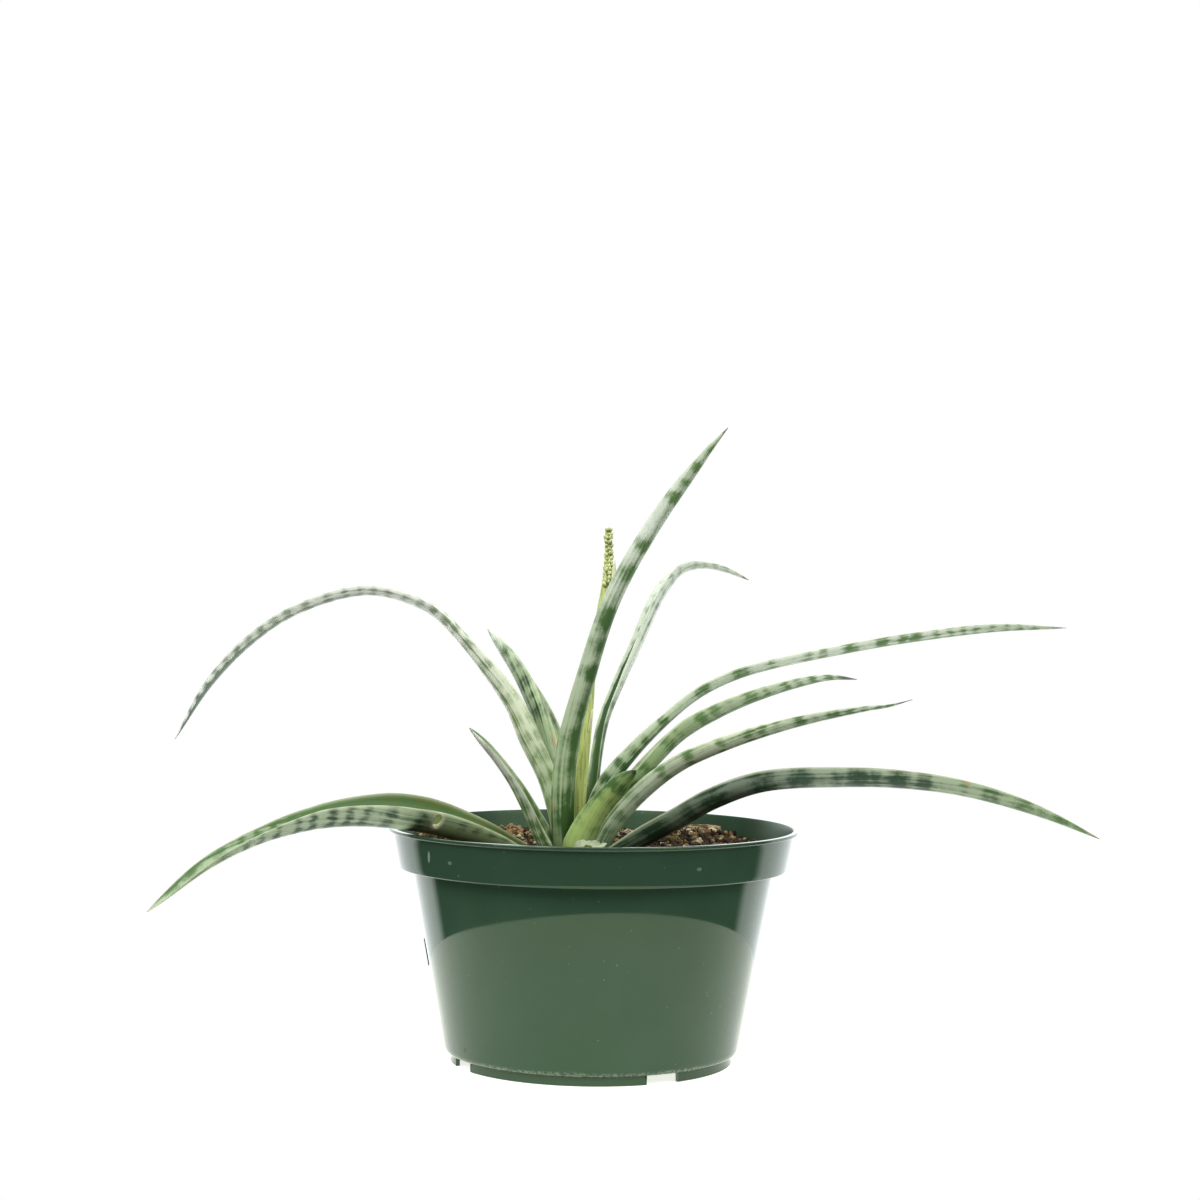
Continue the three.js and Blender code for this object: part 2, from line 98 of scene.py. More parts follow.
# Where the small chips lie: how far out their middles and their edges reach, and the crown's foot and the
# leaves' height that they stay clear of. Then the share of the chips that have each colour.
GRIT = {"spread": 71.5, "edge": 72.5, "crown_x": -6.0, "crown_radius": 9.0, "leaf_height": 88.0}
GRIT_COLOURS = {
    "#1d150d": 0.24,
    "#463420": 0.2,
    "#765e36": 0.16,
    "#a38a58": 0.14,
    "#cab98c": 0.09,
    "#533d23": 0.13,
    "#ded2ac": 0.04,
}

# Small marks on the pot, each inside an ellipsoid with its middle and half sizes, the first of them a paler
# patch of painted highlight on the dent left by the moulding gate; then that dent, and the height of the
# worn line above the foot.
POT_MARKS_AND_HIGHLIGHT = [
    {"at": (-3.7, -60.5, 38.8), "half": (1.9, 6, 1.1), "colour": "#33483a", "strength": 0.4},
    {"at": (-58.5, -47, 79.7), "half": (0.5, 6, 2.6), "colour": "#c9d2cc", "strength": 0.28},
    {"at": (-50.5, -55, 78.6), "half": (0.9, 6, 0.8), "colour": "#a9b5ac", "strength": 0.2},
    {"at": (37.2, -65.5, 78.6), "half": (1.1, 6, 0.8), "colour": "#9fb0a4", "strength": 0.2},
    {"at": (-45.5, -33, 8.5), "half": (0.8, 6, 1.3), "colour": "#1c2a20", "strength": 0.9},
]
GATE = {"at": (-3.7, -60.5, 38.8), "half": (1.2, 6, 0.9), "soft": 0.9}
FOOT_LINE = 4.3

# The camera stands this far to the right of the pot's axis and is turned by this angle about its own line
# of sight. The lamps have a place, a size and a power each, in metres and watts, and look at one point.
CAMERA_RIGHT = 0.00141
CAMERA_ROLL = 0.012
LAMPS = {
    "lamp_front_left": ((-0.9, -1.0, 1.1), 0.9, 22),
    "lamp_front_right": ((1.0, -0.9, 0.9), 0.8, 12),
}
LAMP_TARGET = (0, 0, 0.1)

# How softly the studio's wall ends, and between which rises of a direction the ceiling comes in.
WALL_SOFT = 0.08
CEILING_RISE = (0.1, 0.75)

# The floor: where its middle lies from the pot's axis and foot, how much narrower than deep it is, and
# the radii of its inner circles.
FLOOR = {"offset": (4.5, 15.0, -0.2), "narrower": 0.965, "circles": (80.0, 2.0)}

# A leaf narrows to its point from this fraction of its length on, down to this width, and its margin is
# this thick in proportion to its middle.
TIP_START = 0.8
TIP_WIDTH = 0.5
MARGIN = 0.35

# How the bands look: how far one spreads in half widths, and the height and length of its wavering edge.
BAND_SPREAD = 1.2
BAND_WAVER = 0.6
BAND_WAVE = 6

# The skin's streaks, hairs and blotches: waves per metre across and along the leaf, and noise detail.
LEAF_NOISES = (((850.0, 22.0), 1.0), ((1700.0, 35.0), 0.0), ((420.0, 450.0), 2.0))

# A dry tip's colour and length, and a spot's colour, where a leaf names none of its own.
PLAIN_TIP = ("#b9ae94", 3)
SPOT_COLOUR = "#a8854c"

# The leaves' colours, from the palest silver to the darkest green.
LEAF_COLOURS = {
    "paper": "#f3f6ec",
    "cream": "#dfe8c6",
    "white": "#dde5d4",
    "silver": "#c2cfb2",
    "ash": "#a8ba93",
    "pewter": "#9aa88d",
    "sage": "#8ea474",
    "slate": "#7f8b7a",
    "lime": "#9cb369",
    "moss": "#778f5b",
    "olive": "#5c672b",
    "steel": "#66736a",
    "fern": "#648550",
    "leaf": "#4a6a3a",
    "bottle": "#345127",
    "pine": "#2e4632",
    "ink": "#1c2918",
}

# The leaves. path, widths, cup (half angles), roll and thickness are as the frame has them. Widths, angles,
# colours and amounts stand at even steps from base to tip. A place across runs from -1 to 1 between the
# margins.
# ground and band: the colours of the pale ground and of the dark bands.
# inside and inside_band: the same two on the inner side, where they differ from the outer one.
# bands: dark cross bands as middle, half width and strength.
# lean and chevron: how far a band slants and bends back over half the blade's width.
# fade: how much fainter the bands get towards the margin at place -1.
# side and groove_shade: amounts of painted shade on the outer and the inner side, for how light falls
# across the leaf and into its channel, or of painted light where below 0, and the two places across between
# which they grow from nothing.
# lines: how strong the lengthwise lines are, where it isn't 1.
# spots and hole: middle along, place across and the two half sizes, and spot_colour the spots' colour.
# tip: the dry tip's colour and length.
LEAVES = {
    "leaf_short_right": {
        "path": [[-8, -6, 72], [-5, -9, 81], [-1.5, -11, 88.5], [3, -13, 96], [7, -14.5, 101],
                 [12, -16.5, 106.5], [15.5, -17.5, 109.5]],
        "widths": [10, 12.5, 11.5, 9.5, 8, 6.5],
        "cup": [65, 50],
        "roll": [-60, -50],
        "thickness": 2.2,
        "lines": 0.5,
        "ground": ("lime", "lime", "lime", "moss"),
        "band": ("moss", "fern", "leaf", "leaf"),
        "bands": [(12, 2, 0.3), (18, 2, 0.45), (24, 2, 0.3), (30, 2, 0.4), (37, 2.2, 0.9),
                  (45, 2.5, 0.85), (52, 2.5, 1.0), (60, 5, 0.8)],
        "side": [((0.6, 0.2, 0.0, 0.0), 0.0, 0.3), ((0.0, -0.4, -0.2, 0.0), 0.1, -0.2),
                 ((0.0, 0.3, 0.75, 0.5), -0.35, -0.7)],
        "tip": ("#3c4a30", 3),
    },
    "leaf_short_left": {
        "path": [[-12, -4, 72], [-16, -7.5, 78], [-20, -10, 86], [-28, -17, 102], [-36.5, -23, 114.5],
                 [-45.5, -29, 125]],
        "widths": [10, 12.5, 9.3, 6.7, 5.2, 5],
        "cup": [85, 95, 95],
        "roll": [-37, -41, -37, -34],
        "thickness": 2.2,
        "ground": ("moss", "ash", "silver", "paper", "paper"),
        "band": ("bottle", "leaf", "fern", "sage", "sage"),
        "bands": [(12, 2, 0.8), (17, 2, 0.7), (23, 2.2, 0.8), (31, 3, 0.75), (38, 1.5, 0.4),
                  (43, 1.5, 0.5), (58, 1.5, 0.3)],
        "side": [((0.05, 0.0), 0.8, 0.5)],
        "inside": ("moss", "sage", "ash", "ash", "fern"),
    },
    "leaf_tall_centre": {
        "path": [[-10, -3.5, 73], [-11, -5, 90], [-10.8, -6.5, 103], [-9.3, -8, 118],
                 [-3.4, -11.5, 141.8], [6.2, -17, 172], [21.3, -23, 200], [39.3, -29, 225.5],
                 [47, -31, 235]],
        "widths": [8, 10, 9.4, 8.4, 7.8, 7.5, 7, 6, 4],
        "cup": [75, 55],
        "roll": [-40, -40],
        "thickness": 2.6,
        "lines": 0.7,
        "ground": ("sage", "ash", "silver", "white", "silver"),
        "band": ("bottle", "leaf", "leaf", "fern", "fern"),
        "bands": [(17, 6, 0.85), (26, 3, 0.5), (38, 3, 0.4), (48, 4, 0.7), (59, 2.5, 0.4),
                  (74, 2.5, 0.85), (85, 3, 0.5), (95, 4, 0.85), (114, 3, 0.7), (126, 2, 0.95),
                  (147, 2, 1.0), (154, 1.2, 0.5), (161, 1.6, 0.95), (169, 1.5, 0.6)],
        "side": [((0.6, 0.5, 0.4, 0.45), -0.75, 0.15)],
        "fade": 0.45,
        "spots": [(22.4, -0.87, 2.2, 0.12)],
        "tip": ("#8d7f68", 5),
    },
    "leaf_low_right": {
        "path": [[-2, -3, 71], [6, -8, 75.5], [17.5, -12, 83], [32, -17, 91.7], [44.5, -21, 99.2],
                 [62, -25, 105.8], [92.5, -32, 108.3], [111, -36, 108.1], [130, -39, 106],
                 [147, -41, 102], [163, -43, 96.6], [180.5, -45, 89]],
        "widths": [10, 13.5, 13.8, 13, 12, 10.6, 8.5, 5.5],
        "cup": [70, 85, 80],
        "roll": [-20, -20],
        "thickness": 2.4,
        "ground": ("bottle", "slate", "pewter", "ash"),
        "band": ("ink", "pine", "pine", "fern"),
        "bands": [(15, 6, 0.52), (33, 4.5, 0.75), (48, 2.2, 0.6), (58, 4.5, 0.75), (77, 4.5, 0.71),
                  (91, 4, 0.75), (104, 2, 0.37), (112, 3.5, 0.75), (118, 2, 0.45), (126, 3, 0.71),
                  (135, 2.5, 0.68), (149, 1.5, 0.37), (159, 3, 0.68), (171, 3, 0.6), (178, 2, 0.45),
                  (185, 3, 0.68), (193, 3, 0.6)],
        "side": [((0.6, 0.15, 0.3, 0.25), -0.98, -0.45)],
        "spots": [(150, -0.89, 1.2, 0.12)],
        "tip": ("#8b8266", 5),
    },
    "leaf_low_left": {
        "path": [[-11, -2, 70], [-19, -5, 73.5], [-29, -10, 78.5], [-39, -16, 84], [-57.5, -26, 91.2],
                 [-67.5, -31, 93.3], [-81, -37, 94.3], [-95, -43, 93.4], [-108, -48, 90.3],
                 [-122.5, -52, 84.6], [-136, -56, 77], [-155.8, -61, 61]],
        "widths": [10, 16.5, 20, 20, 15.5, 9.5, 7, 5],
        "cup": [80, 95, 90, 70],
        "roll": [-15, -12, -12, 0, -10, -40],
        "thickness": 2.4,
        "ground": ("sage", "sage", "pewter", "pewter", "fern"),
        "band": ("leaf", "pine", "pine", "pine", "leaf"),
        "bands": [(13, 3, 0.6), (22, 1.6, 0.45), (28, 1.6, 0.5), (34, 1.6, 0.5), (40, 1.6, 0.5),
                  (46, 1.6, 0.45), (52, 1.6, 0.45), (68, 1.6, 0.48), (79, 1.6, 0.56), (88, 1.2, 0.56),
                  (94, 1.2, 0.72), (100, 1.3, 0.88), (107, 1.2, 0.88), (112, 1.2, 0.8), (119, 1.2, 0.8),
                  (125, 1.2, 0.64), (131, 1.2, 0.56), (140, 2, 0.4), (152, 3, 0.48), (160, 3, 0.56)],
        "chevron": -2.5,
        "hole": (60.0, 0.76, 1.5, 0.17),
        "side": [((-0.5, -0.5, 0.5, 0.3, 1.1), 0.85, 0.5)],
        "inside": ("olive", "olive", "olive", "pewter", "ash"),
        "groove_shade": [((0.4, 0.4, 0.8, 0.5, 0.7), 0.0, -0.9)],
        "spots": [(60.0, 0.76, 2.4, 0.28)],
        "inside_band": ("leaf", "leaf", "leaf", "leaf", "leaf"),
        "spot_colour": "#d9d2b0",
    },
    "leaf_lower_right": {
        "path": [[-2.5, -2.5, 72], [2.5, -5, 77], [8, -8, 88.5], [19, -11, 101.5], [32, -14, 111.7],
                 [48, -17, 119.2], [65, -20, 125.2], [81.5, -23, 129.8], [98, -26, 133.3],
                 [107.5, -27, 134.8], [115.5, -28, 137.2]],
        "widths": [8, 11, 11.5, 10.5, 9, 7, 5, 2],
        "cup": [75, 80, 75],
        "roll": [-20, -15],
        "thickness": 2.3,
        "ground": ("fern", "silver", "cream", "silver", "white"),
        "band": ("pine", "fern", "fern", "leaf", "fern"),
        "bands": [(16, 4, 0.65), (25, 2, 0.6), (34, 1.8, 0.45), (48, 1.4, 0.65), (59, 1.6, 0.65),
                  (72, 1.4, 0.5), (83, 1.6, 0.72), (88, 1.5, 0.65), (93, 1.2, 0.36), (102, 2, 0.72),
                  (108, 1, 0.29), (115, 2.8, 0.81), (121, 1.4, 0.65), (126, 1, 0.57), (131, 1.2, 0.65),
                  (135, 1.5, 0.73)],
        "tip": ("#7a736b", 12),
        "side": [((0.15, 0.15, 0.2, 0.3, 0.3), -0.35, 0.1), ((0.6, 0.0, 0.0, 0.0, 0.0), -0.55, -0.8),
                 ((0.0, 0.0, 0.0, 0.0, 0.5), -0.45, -0.15)],
    },
    "leaf_middle_right": {
        "path": [[-3, -0.5, 72], [0, -1, 79], [7, 0, 94.5], [19, 1, 109], [33, 3, 123], [47, 4, 130.8],
                 [61, 5, 136.5], [76, 6, 141.2], [88.5, 6.5, 143.6], [99, 7, 143.2]],
        "widths": [9, 12.9, 14.3, 14.3, 10, 7.4, 5],
        "cup": [75, 80, 75],
        "roll": [0, -2, -14, -15],
        "thickness": 2.3,
        "ground": ("sage", "sage", "ash", "silver", "white"),
        "band": ("pine", "leaf", "fern", "fern", "fern"),
        "bands": [(12, 4, 0.95), (23, 2.2, 0.85), (30, 1.6, 0.7), (37, 2, 0.85), (45, 1.5, 0.7),
                  (57, 2, 0.8), (62, 1, 0.5), (73, 2, 0.9), (79, 1.8, 0.8), (85, 1, 0.4), (93, 2.6, 0.95),
                  (99, 1.2, 0.7), (107, 1.5, 0.9), (112, 1.2, 0.8), (118, 1.6, 0.95), (124, 1.6, 0.95),
                  (129, 2, 0.9)],
        "chevron": -1.5,
        "tip": ("#75756d", 12),
        "side": [((0.2, -0.1, 0.1, 0.1, -0.2), -0.6, -0.3), ((0.4, 0.5, 0.6, 0.7, 0.2), -0.4, -0.15),
                 ((0.5, 0.3, 0.0, 0.0, 0.0), -0.6, -0.9)],
    },
    "leaf_upper_right": {
        "path": [[-3.8, 2, 72], [-2.1, 3, 85], [2.8, 5, 98.6], [13.3, 9, 112.5], [25.2, 13, 124.8],
                 [40, 17, 137], [57, 20, 145], [98, 25, 154.6], [126, 28, 159.5], [154, 30, 163],
                 [182.8, 32, 163.4]],
        "widths": [7, 12, 8.6, 8.8, 8.5, 8.5, 8.6, 6.5],
        "cup": [70, 80, 80],
        "roll": [-25, -32, -16, -5, -4, -2, 0],
        "thickness": 2.2,
        "ground": ("moss", "silver", "white", "white", "silver"),
        "band": ("pine", "leaf", "fern", "fern", "fern"),
        "bands": [(14, 4, 0.95), (24, 3, 0.95), (33, 1.8, 0.9), (41, 1.8, 0.85), (48, 1.6, 0.6),
                  (54, 1.4, 0.5), (64, 2, 0.85), (84, 3, 0.9), (100, 3.2, 0.85), (113, 2, 0.55),
                  (127, 2, 0.6), (133, 1.5, 0.7), (144, 2.5, 1.0), (157, 2, 0.95), (165, 1.5, 0.95),
                  (170, 2.2, 0.95), (178, 1.2, 0.7), (184, 1.2, 0.7), (189, 1.2, 0.8), (194, 1.2, 0.8),
                  (200, 1.3, 0.8), (206, 1.2, 0.75), (211, 1.2, 0.8), (217, 1.5, 0.7)],
        "tip": ("#a7a99c", 10),
        "side": [((1.0, 0.7, 0.75, 0.75, 0.2), -0.5, -0.15)],
    },
    "leaf_arching_left": {
        "path": [[-8.3, 1.5, 73.3], [-12.3, 2, 80.3], [-14.6, 3, 91.2], [-18.5, 5, 104.4],
                 [-25.3, 8, 118.3], [-32.5, 11, 133.3], [-53, 17, 158.8], [-64.5, 19, 168.4],
                 [-87.5, 21.5, 174.6], [-115.9, 24, 166.6], [-133.8, 25, 154.4], [-149, 26, 138],
                 [-162.2, 27, 116.4]],
        "widths": [7.5, 9.8, 13, 12.5, 9, 8.7, 8.3, 7.9, 7.1, 5.6],
        "cup": [70, 80, 80],
        "roll": [62, 46, 5, 1, 0, 0],
        "thickness": 2.3,
        "ground": ("moss", "cream", "paper", "white", "paper"),
        "band": ("fern", "moss", "slate", "slate", "steel"),
        "bands": [(15, 5, 0.8), (24, 2.5, 0.6), (33, 2.5, 0.65), (42, 2.5, 0.5), (50, 2, 0.5),
                  (58, 2.5, 0.4), (67, 2, 0.45), (73, 1.5, 0.25), (82, 2, 0.6), (93, 2, 0.7),
                  (101, 1.4, 0.55), (106, 1.6, 0.62), (112, 1.2, 0.55), (118, 1.2, 0.51),
                  (124, 1.2, 0.47), (131, 1.2, 0.47), (137, 1.2, 0.47), (142, 1.2, 0.55),
                  (148, 1.2, 0.55), (155, 1.5, 0.62), (164, 1.6, 0.66), (172, 1.6, 0.62),
                  (178, 1.5, 0.62), (184, 1.4, 0.62), (190, 1.4, 0.58), (196, 1.4, 0.66),
                  (202, 1.4, 0.58), (208, 1.4, 0.66), (214, 1.4, 0.62), (220, 1.4, 0.66),
                  (226, 1.4, 0.62), (232, 1.5, 0.58)],
        "lean": 1.5,
        "chevron": -2.5,
        "side": [((0.0, 0.0, 0.0, 0.5, 1.2), 0.75, 0.4), ((0.35, 0.25, 0.2, 0.0, 0.0), 0.4, 0.8)],
    },
    "leaf_behind_left": {
        "path": [[-8.5, 4, 73], [-12.5, 6.5, 82], [-13.2, 10, 96], [-15.3, 16, 111], [-19, 23, 123.5],
                 [-29.6, 34, 143.4], [-42.7, 44, 160]],
        "widths": [10, 13, 14.5, 14, 13.6, 11, 9],
        "cup": [85, 100, 100, 90, 80],
        "roll": [37, 41, 36, 43, 44],
        "thickness": 2.2,
        "ground": ("silver", "silver", "ash", "ash", "white"),
        "band": ("pine", "pine", "pine", "pine", "fern"),
        "bands": [(15, 5, 0.49), (26, 3, 0.38), (37, 2, 0.26), (60, 3.5, 0.59), (67, 1.5, 0.38),
                  (74, 2.5, 0.53), (82, 1.5, 0.31), (91, 2.5, 0.59), (97, 1.5, 0.43), (102, 1.5, 0.43)],
        "side": [((0.0, 0.0, 0.05, 0.1, 0.1), 0.8, 0.5), ((0.1, 0.15, 0.15, 0.2, -0.6), 0.5, 0.85)],
        "spots": [(45.2, 0.95, 3.5, 0.1)],
    },
    "leaf_back_curled": {
        "path": [[-4.6, 5, 73], [-2.2, 7.5, 82], [-0.2, 12, 100], [3.5, 21, 124.5], [9.4, 29, 140],
                 [16.3, 37, 155.5], [23.2, 45, 171.3], [27.7, 49, 178.8], [34.1, 53, 184.8],
                 [43.6, 57, 186.2], [52.5, 60, 184.3], [61, 62, 180.8]],
        "widths": [7.7, 7.3, 6.3, 6.8, 8, 9.7, 10.5, 5.6, 5.9],
        "cup": [75, 85, 80],
        "roll": [-1, -2, -17, -28, -24, 6],
        "thickness": 1.8,
        # Its white ground is partly the leaf's own silver and partly painted light, the backlight that
        # washes it out.
        "ground": ("moss", "sage", "white", "white", "white"),
        "band": ("ink", "bottle", "slate", "slate", "slate"),
        "bands": [(13, 4, 0.72), (26, 3, 0.63), (33, 2, 0.45), (42, 1.5, 0.45), (51, 2.5, 0.81),
                  (62, 1.2, 0.54), (72, 1, 0.36), (81, 1, 0.36), (93, 1.1, 0.33), (99, 1.1, 0.36),
                  (108, 1.4, 0.42), (115, 1, 0.33), (122, 1.1, 0.45), (127, 1, 0.39), (135, 1.1, 0.39),
                  (139, 1, 0.39), (144, 1, 0.39), (149, 1.2, 0.52), (154, 1.2, 0.52)],
        "tip": ("#8b8f88", 6),
        "inside": ("moss", "moss", "silver", "white", "white"),
        "groove_shade": [((0.8, 1.9, 1.7, 0.2, 0.1), 0.85, 0.6)],
        "inside_band": ("bottle", "bottle", "pine", "slate", "slate"),
        "side": [((0.7, 0.7, 0.0, 0.0, 0.0), -2.0, -1.5)],
    },
}

# The flower stalk, with its radii at even steps, and its spike of buds: where along the stalk it begins,
# its whorls, how far out a bud stands, its half sizes, how far the whorls are shifted to the right, and how
# far out a bud's top leans.
STALK = {
    "path": [[-5.5, 1.5, 74], [-5, 2, 100], [-3.6, 3, 119], [-2.3, 4, 134], [-0.6, 5, 153], [1.6, 6, 168],
             [3.5, 6.5, 180], [4.2, 7, 189], [4.5, 7, 199]],
    "radii": [1.9, 2.2, 2.3, 2.1, 1.5, 1.4, 1.2, 0.9],
}
BUDS = {
    "from": 0.83,
    "rows": 15,
    "per_row": 6,
    "out": 1.3,
    "size": (0.75, 0.75, 1.3),
    "shifts": (1.0, 0.6, 0.2, -0.1),
    "lean": 0.45,
}

# Thin dry scales on the stalk and at the foot of the plant, in the same measures as the leaves. Their
# colours are those of the paper, its veins and its patches.
SCALES = {
    "stalk_bract_upper": {
        "path": [[5.2, 5, 170.5], [6.3, 4.8, 178], [7, 4.9, 187]],
        "widths": [2, 2.2, 1.4],
        "cup": [50, 40],
        "roll": [60, 60],
        "thickness": 0.6,
        "colours": ("#d6d8b6", "#a08a60", "#7d6a45"),
    },
    "stalk_bract_lower": {
        "path": [[-2.4, 1.6, 123], [-1.7, 1.5, 127], [-0.8, 1.9, 131]],
        "widths": [2.6, 2.8, 1.8],
        "cup": [50, 40],
        "roll": [20, 20],
        "thickness": 0.6,
        "colours": ("#d6d8b6", "#a08a60", "#7d6a45"),
    },
    "dry_sheath": {
        "path": [[-7.5, -12.5, 79], [-5, -14.5, 81.8], [-1, -15.2, 82.3], [2.5, -15, 81.3],
                 [5, -14.5, 82.2]],
        "widths": [1.6, 2.8, 1.9, 3, 1.4],
        "cup": [45, 30, 55],
        "roll": [50, 75, 60],
        "thickness": 0.5,
        "colours": ("#a3ad8c", "#ced3bd", "#7f8f68"),
    },
    "dry_scrap": {
        "path": [[-15.5, 0.5, 79.6], [-16.6, -0.4, 83.5], [-17.4, -0.6, 87.5]],
        "widths": [3, 3.2, 2],
        "cup": [50, 40],
        "roll": [60, 60],
        "thickness": 0.7,
        "colours": ("#cfc49f", "#a08a60", "#7d6a45"),
    },
}

# The larger chips on the soil: where they lie, their size, how they are turned and their colour.
CHIPS = {
    "bark_chip_left": {"at": (-31, 46), "size": (7, 6, 4.2), "turn": 20, "tilt": 8, "colour": "#a98458"},
    "bark_chip_behind": {"at": (-12, 44), "size": (9, 5, 3), "turn": -35, "tilt": -6, "colour": "#7a5636"},
    "bark_chip_front": {"at": (-34, -38), "size": (8, 6, 3.5), "turn": 70, "tilt": 5, "colour": "#6d4a2e"},
    "bark_chip_right": {"at": (47, 2), "size": (6, 5, 3.5), "turn": -15, "tilt": 10, "colour": "#8b6440"},
    "bark_chip_front_right": {
        "at": (22, -46), "size": (9, 6, 3.5), "turn": 40, "tilt": -8, "colour": "#74512f",
    },
    "wood_chip_flat": {"at": (43.5, 46), "size": (15, 5, 4.5), "turn": 6, "tilt": 2, "colour": "#b79a72"},
}


def linear(code):
    """The linear red, green, blue and alpha of a screen colour such as #8fa383."""
    parts = np.array([int(code[i:i + 2], 16) for i in (1, 3, 5)]) / 255
    parts = np.where(parts <= 0.04045, parts / 12.92, ((parts + 0.055) / 1.055) ** 2.4)
    return (*parts.tolist(), 1.0)


def smooth(value, low, high):
    """A smooth step: 0 below low, 1 above high, and 3t^2 - 2t^3 between them."""
    t = np.clip((value - low) / (high - low), 0, 1)
    return t * t * (3 - 2 * t)


def along(values, s):
    """A list of values given at even steps, read at the fractions s of the way along."""
    return np.interp(s, np.linspace(0, 1, len(values)), values)


class Tree:
    """A node tree, emptied first, with one short call for each kind of node that is needed."""

    def __init__(self, tree):
        self.tree = tree
        tree.nodes.clear()

    def add(self, kind, **values):
        """A new node with its settings."""
        node = self.tree.nodes.new(kind)
        for name, value in values.items():
            setattr(node, name, value)
        return node

    def put(self, socket, value):
        """Links a socket to another one, or gives it a number or a colour. None leaves it as it is."""
        if isinstance(value, bpy.types.NodeSocket):
            self.tree.links.new(value, socket)
        elif value is not None:
            socket.default_value = value

    def fill(self, node, values):
        """Puts values into a node's sockets by their names."""
        for name, value in values.items():
            self.put(node.inputs[name], value)
        return node

    def parts(self, vector):
        """The three parts of a vector."""
        node = self.add("ShaderNodeSeparateXYZ")
        self.put(node.inputs[0], vector)
        return list(node.outputs)

    def vector(self, x, y, z):
        """A vector of three numbers."""
        return self.fill(self.add("ShaderNodeCombineXYZ"), {"X": x, "Y": y, "Z": z}).outputs[0]

    def math(self, operation, a, b=None, c=None):
        """A sum, product or other step of arithmetic."""
        node = self.add("ShaderNodeMath", operation=operation)
        for socket, value in zip(node.inputs, (a, b, c)):
            self.put(socket, value)
        return node.outputs[0]

    def step(self, value, low, high, top=1.0):
        """A smooth step of a value from 0 at low to top at high."""
        node = self.add("ShaderNodeMapRange", interpolation_type="SMOOTHSTEP")
        limits = {"Value": value, "From Min": low, "From Max": high, "To Max": top}
        return self.fill(node, limits).outputs["Result"]

    def swing(self, noise, amount, base):
        """A base value moved by how far a noise is from its middle, times an amount."""
        return self.math("MULTIPLY_ADD", self.math("SUBTRACT", noise, 0.5), amount, base)

    def noise(self, vector, scale=1.0, detail=3.0):
        """A noise from 0 to 1 with its middle at 0.5."""
        settings = {"Vector": vector, "Scale": scale, "Detail": detail, "Roughness": 0.55}
        return self.fill(self.add("ShaderNodeTexNoise"), settings).outputs["Fac"]

    def stretched(self, parts, scales, detail=3.0):
        """A noise over three parts, of which the first ones are multiplied by the scales given."""
        scaled = [self.math("MULTIPLY", part, scale) for part, scale in zip(parts, scales)]
        return self.noise(self.vector(*scaled, *parts[len(scales):]), detail=detail)

    def mix(self, factor, a, b, blend="MIX"):
        """Two colours mixed."""
        node = self.add("ShaderNodeMix", data_type="RGBA", blend_type=blend)
        self.put(node.inputs["Factor"], factor)
        self.put(node.inputs[6], a)
        self.put(node.inputs[7], b)
        return node.outputs[2]


class Finish(Tree):
    """A material of one shader, whose even settings stand on the shader's own sockets."""

    def __init__(self, name, **settings):
        self.material = bpy.data.materials.new(name)
        self.material.use_nodes = True
        super().__init__(self.material.node_tree)
        self.shader = self.add("ShaderNodeBsdfPrincipled")
        for setting, value in settings.items():
            socket = setting.replace("_", " ").title().replace("Ior", "IOR")
            self.put(self.shader.inputs[socket], value)
        output = self.add("ShaderNodeOutputMaterial")
        self.put(output.inputs["Surface"], self.shader.outputs["BSDF"])

    def attribute(self, name):
        """The three parts of a named attribute of the mesh."""
        return self.parts(self.add("ShaderNodeAttribute", attribute_name=name).outputs["Vector"])

    def colour(self, name):
        """A colour that the mesh carries."""
        return self.add("ShaderNodeAttribute", attribute_name=name).outputs["Color"]

    def place(self):
        """Object coordinates as one vector."""
        return self.add("ShaderNodeTexCoord").outputs["Object"]

    def paint(self, colour):
        """Gives the shader its colour."""
        self.put(self.shader.inputs["Base Color"], colour)

    def coats(self, code, *coats):
        """Paints one colour and others over it, each where its value steps from low to high."""
        colour = linear(code)
        for value, low, high, top, over in coats:
            colour = self.mix(self.step(value, low, high, top), colour, linear(over))
        self.paint(colour)

    def bump(self, height, strength, distance):
        """Gives the shader its relief."""
        settings = {"Height": height, "Strength": strength, "Distance": distance}
        self.put(self.shader.inputs["Normal"], self.fill(self.add("ShaderNodeBump"), settings).outputs[0])

    def spot(self, parts, spec):
        """1 inside an ellipsoid round the spot's middle, falling to 0 over the soft outer part of it.

        It steps down as the sum of the squares of the three distances in half sizes goes from
        (1 - soft)^2 to 1.
        """
        middles = (POT_AXIS + np.array(spec["at"]) * MM).tolist()
        halves = (np.array(spec["half"]) * MM).tolist()
        total = 0.0
        for part, middle, half in zip(parts, middles, halves):
            share = self.math("DIVIDE", self.math("SUBTRACT", part, middle), half)
            total = self.math("ADD", total, self.math("POWER", share, 2.0))
        return self.math("SUBTRACT", 1.0, self.step(total, (1 - spec.get("soft", 0.4)) ** 2, 1.0))


def mesh_object(name, points, faces, material, attributes=None, flat=False):
    """An object at the origin from points in metres and faces of their numbers."""
    mesh = bpy.data.meshes.new(name)
    mesh.from_pydata(points.reshape(-1, 3), [], faces)
    for label, values in (attributes or {}).items():
        layer = mesh.attributes.new(label, "FLOAT_VECTOR", "POINT")
        layer.data.foreach_set("vector", np.ascontiguousarray(values, dtype=np.float32).ravel())
    mesh.materials.append(material)
    mesh.polygons.foreach_set("use_smooth", np.full(len(mesh.polygons), not flat))
    mesh.validate()
    obj = bpy.data.objects.new(name, mesh)
    bpy.context.scene.collection.objects.link(obj)
    return obj


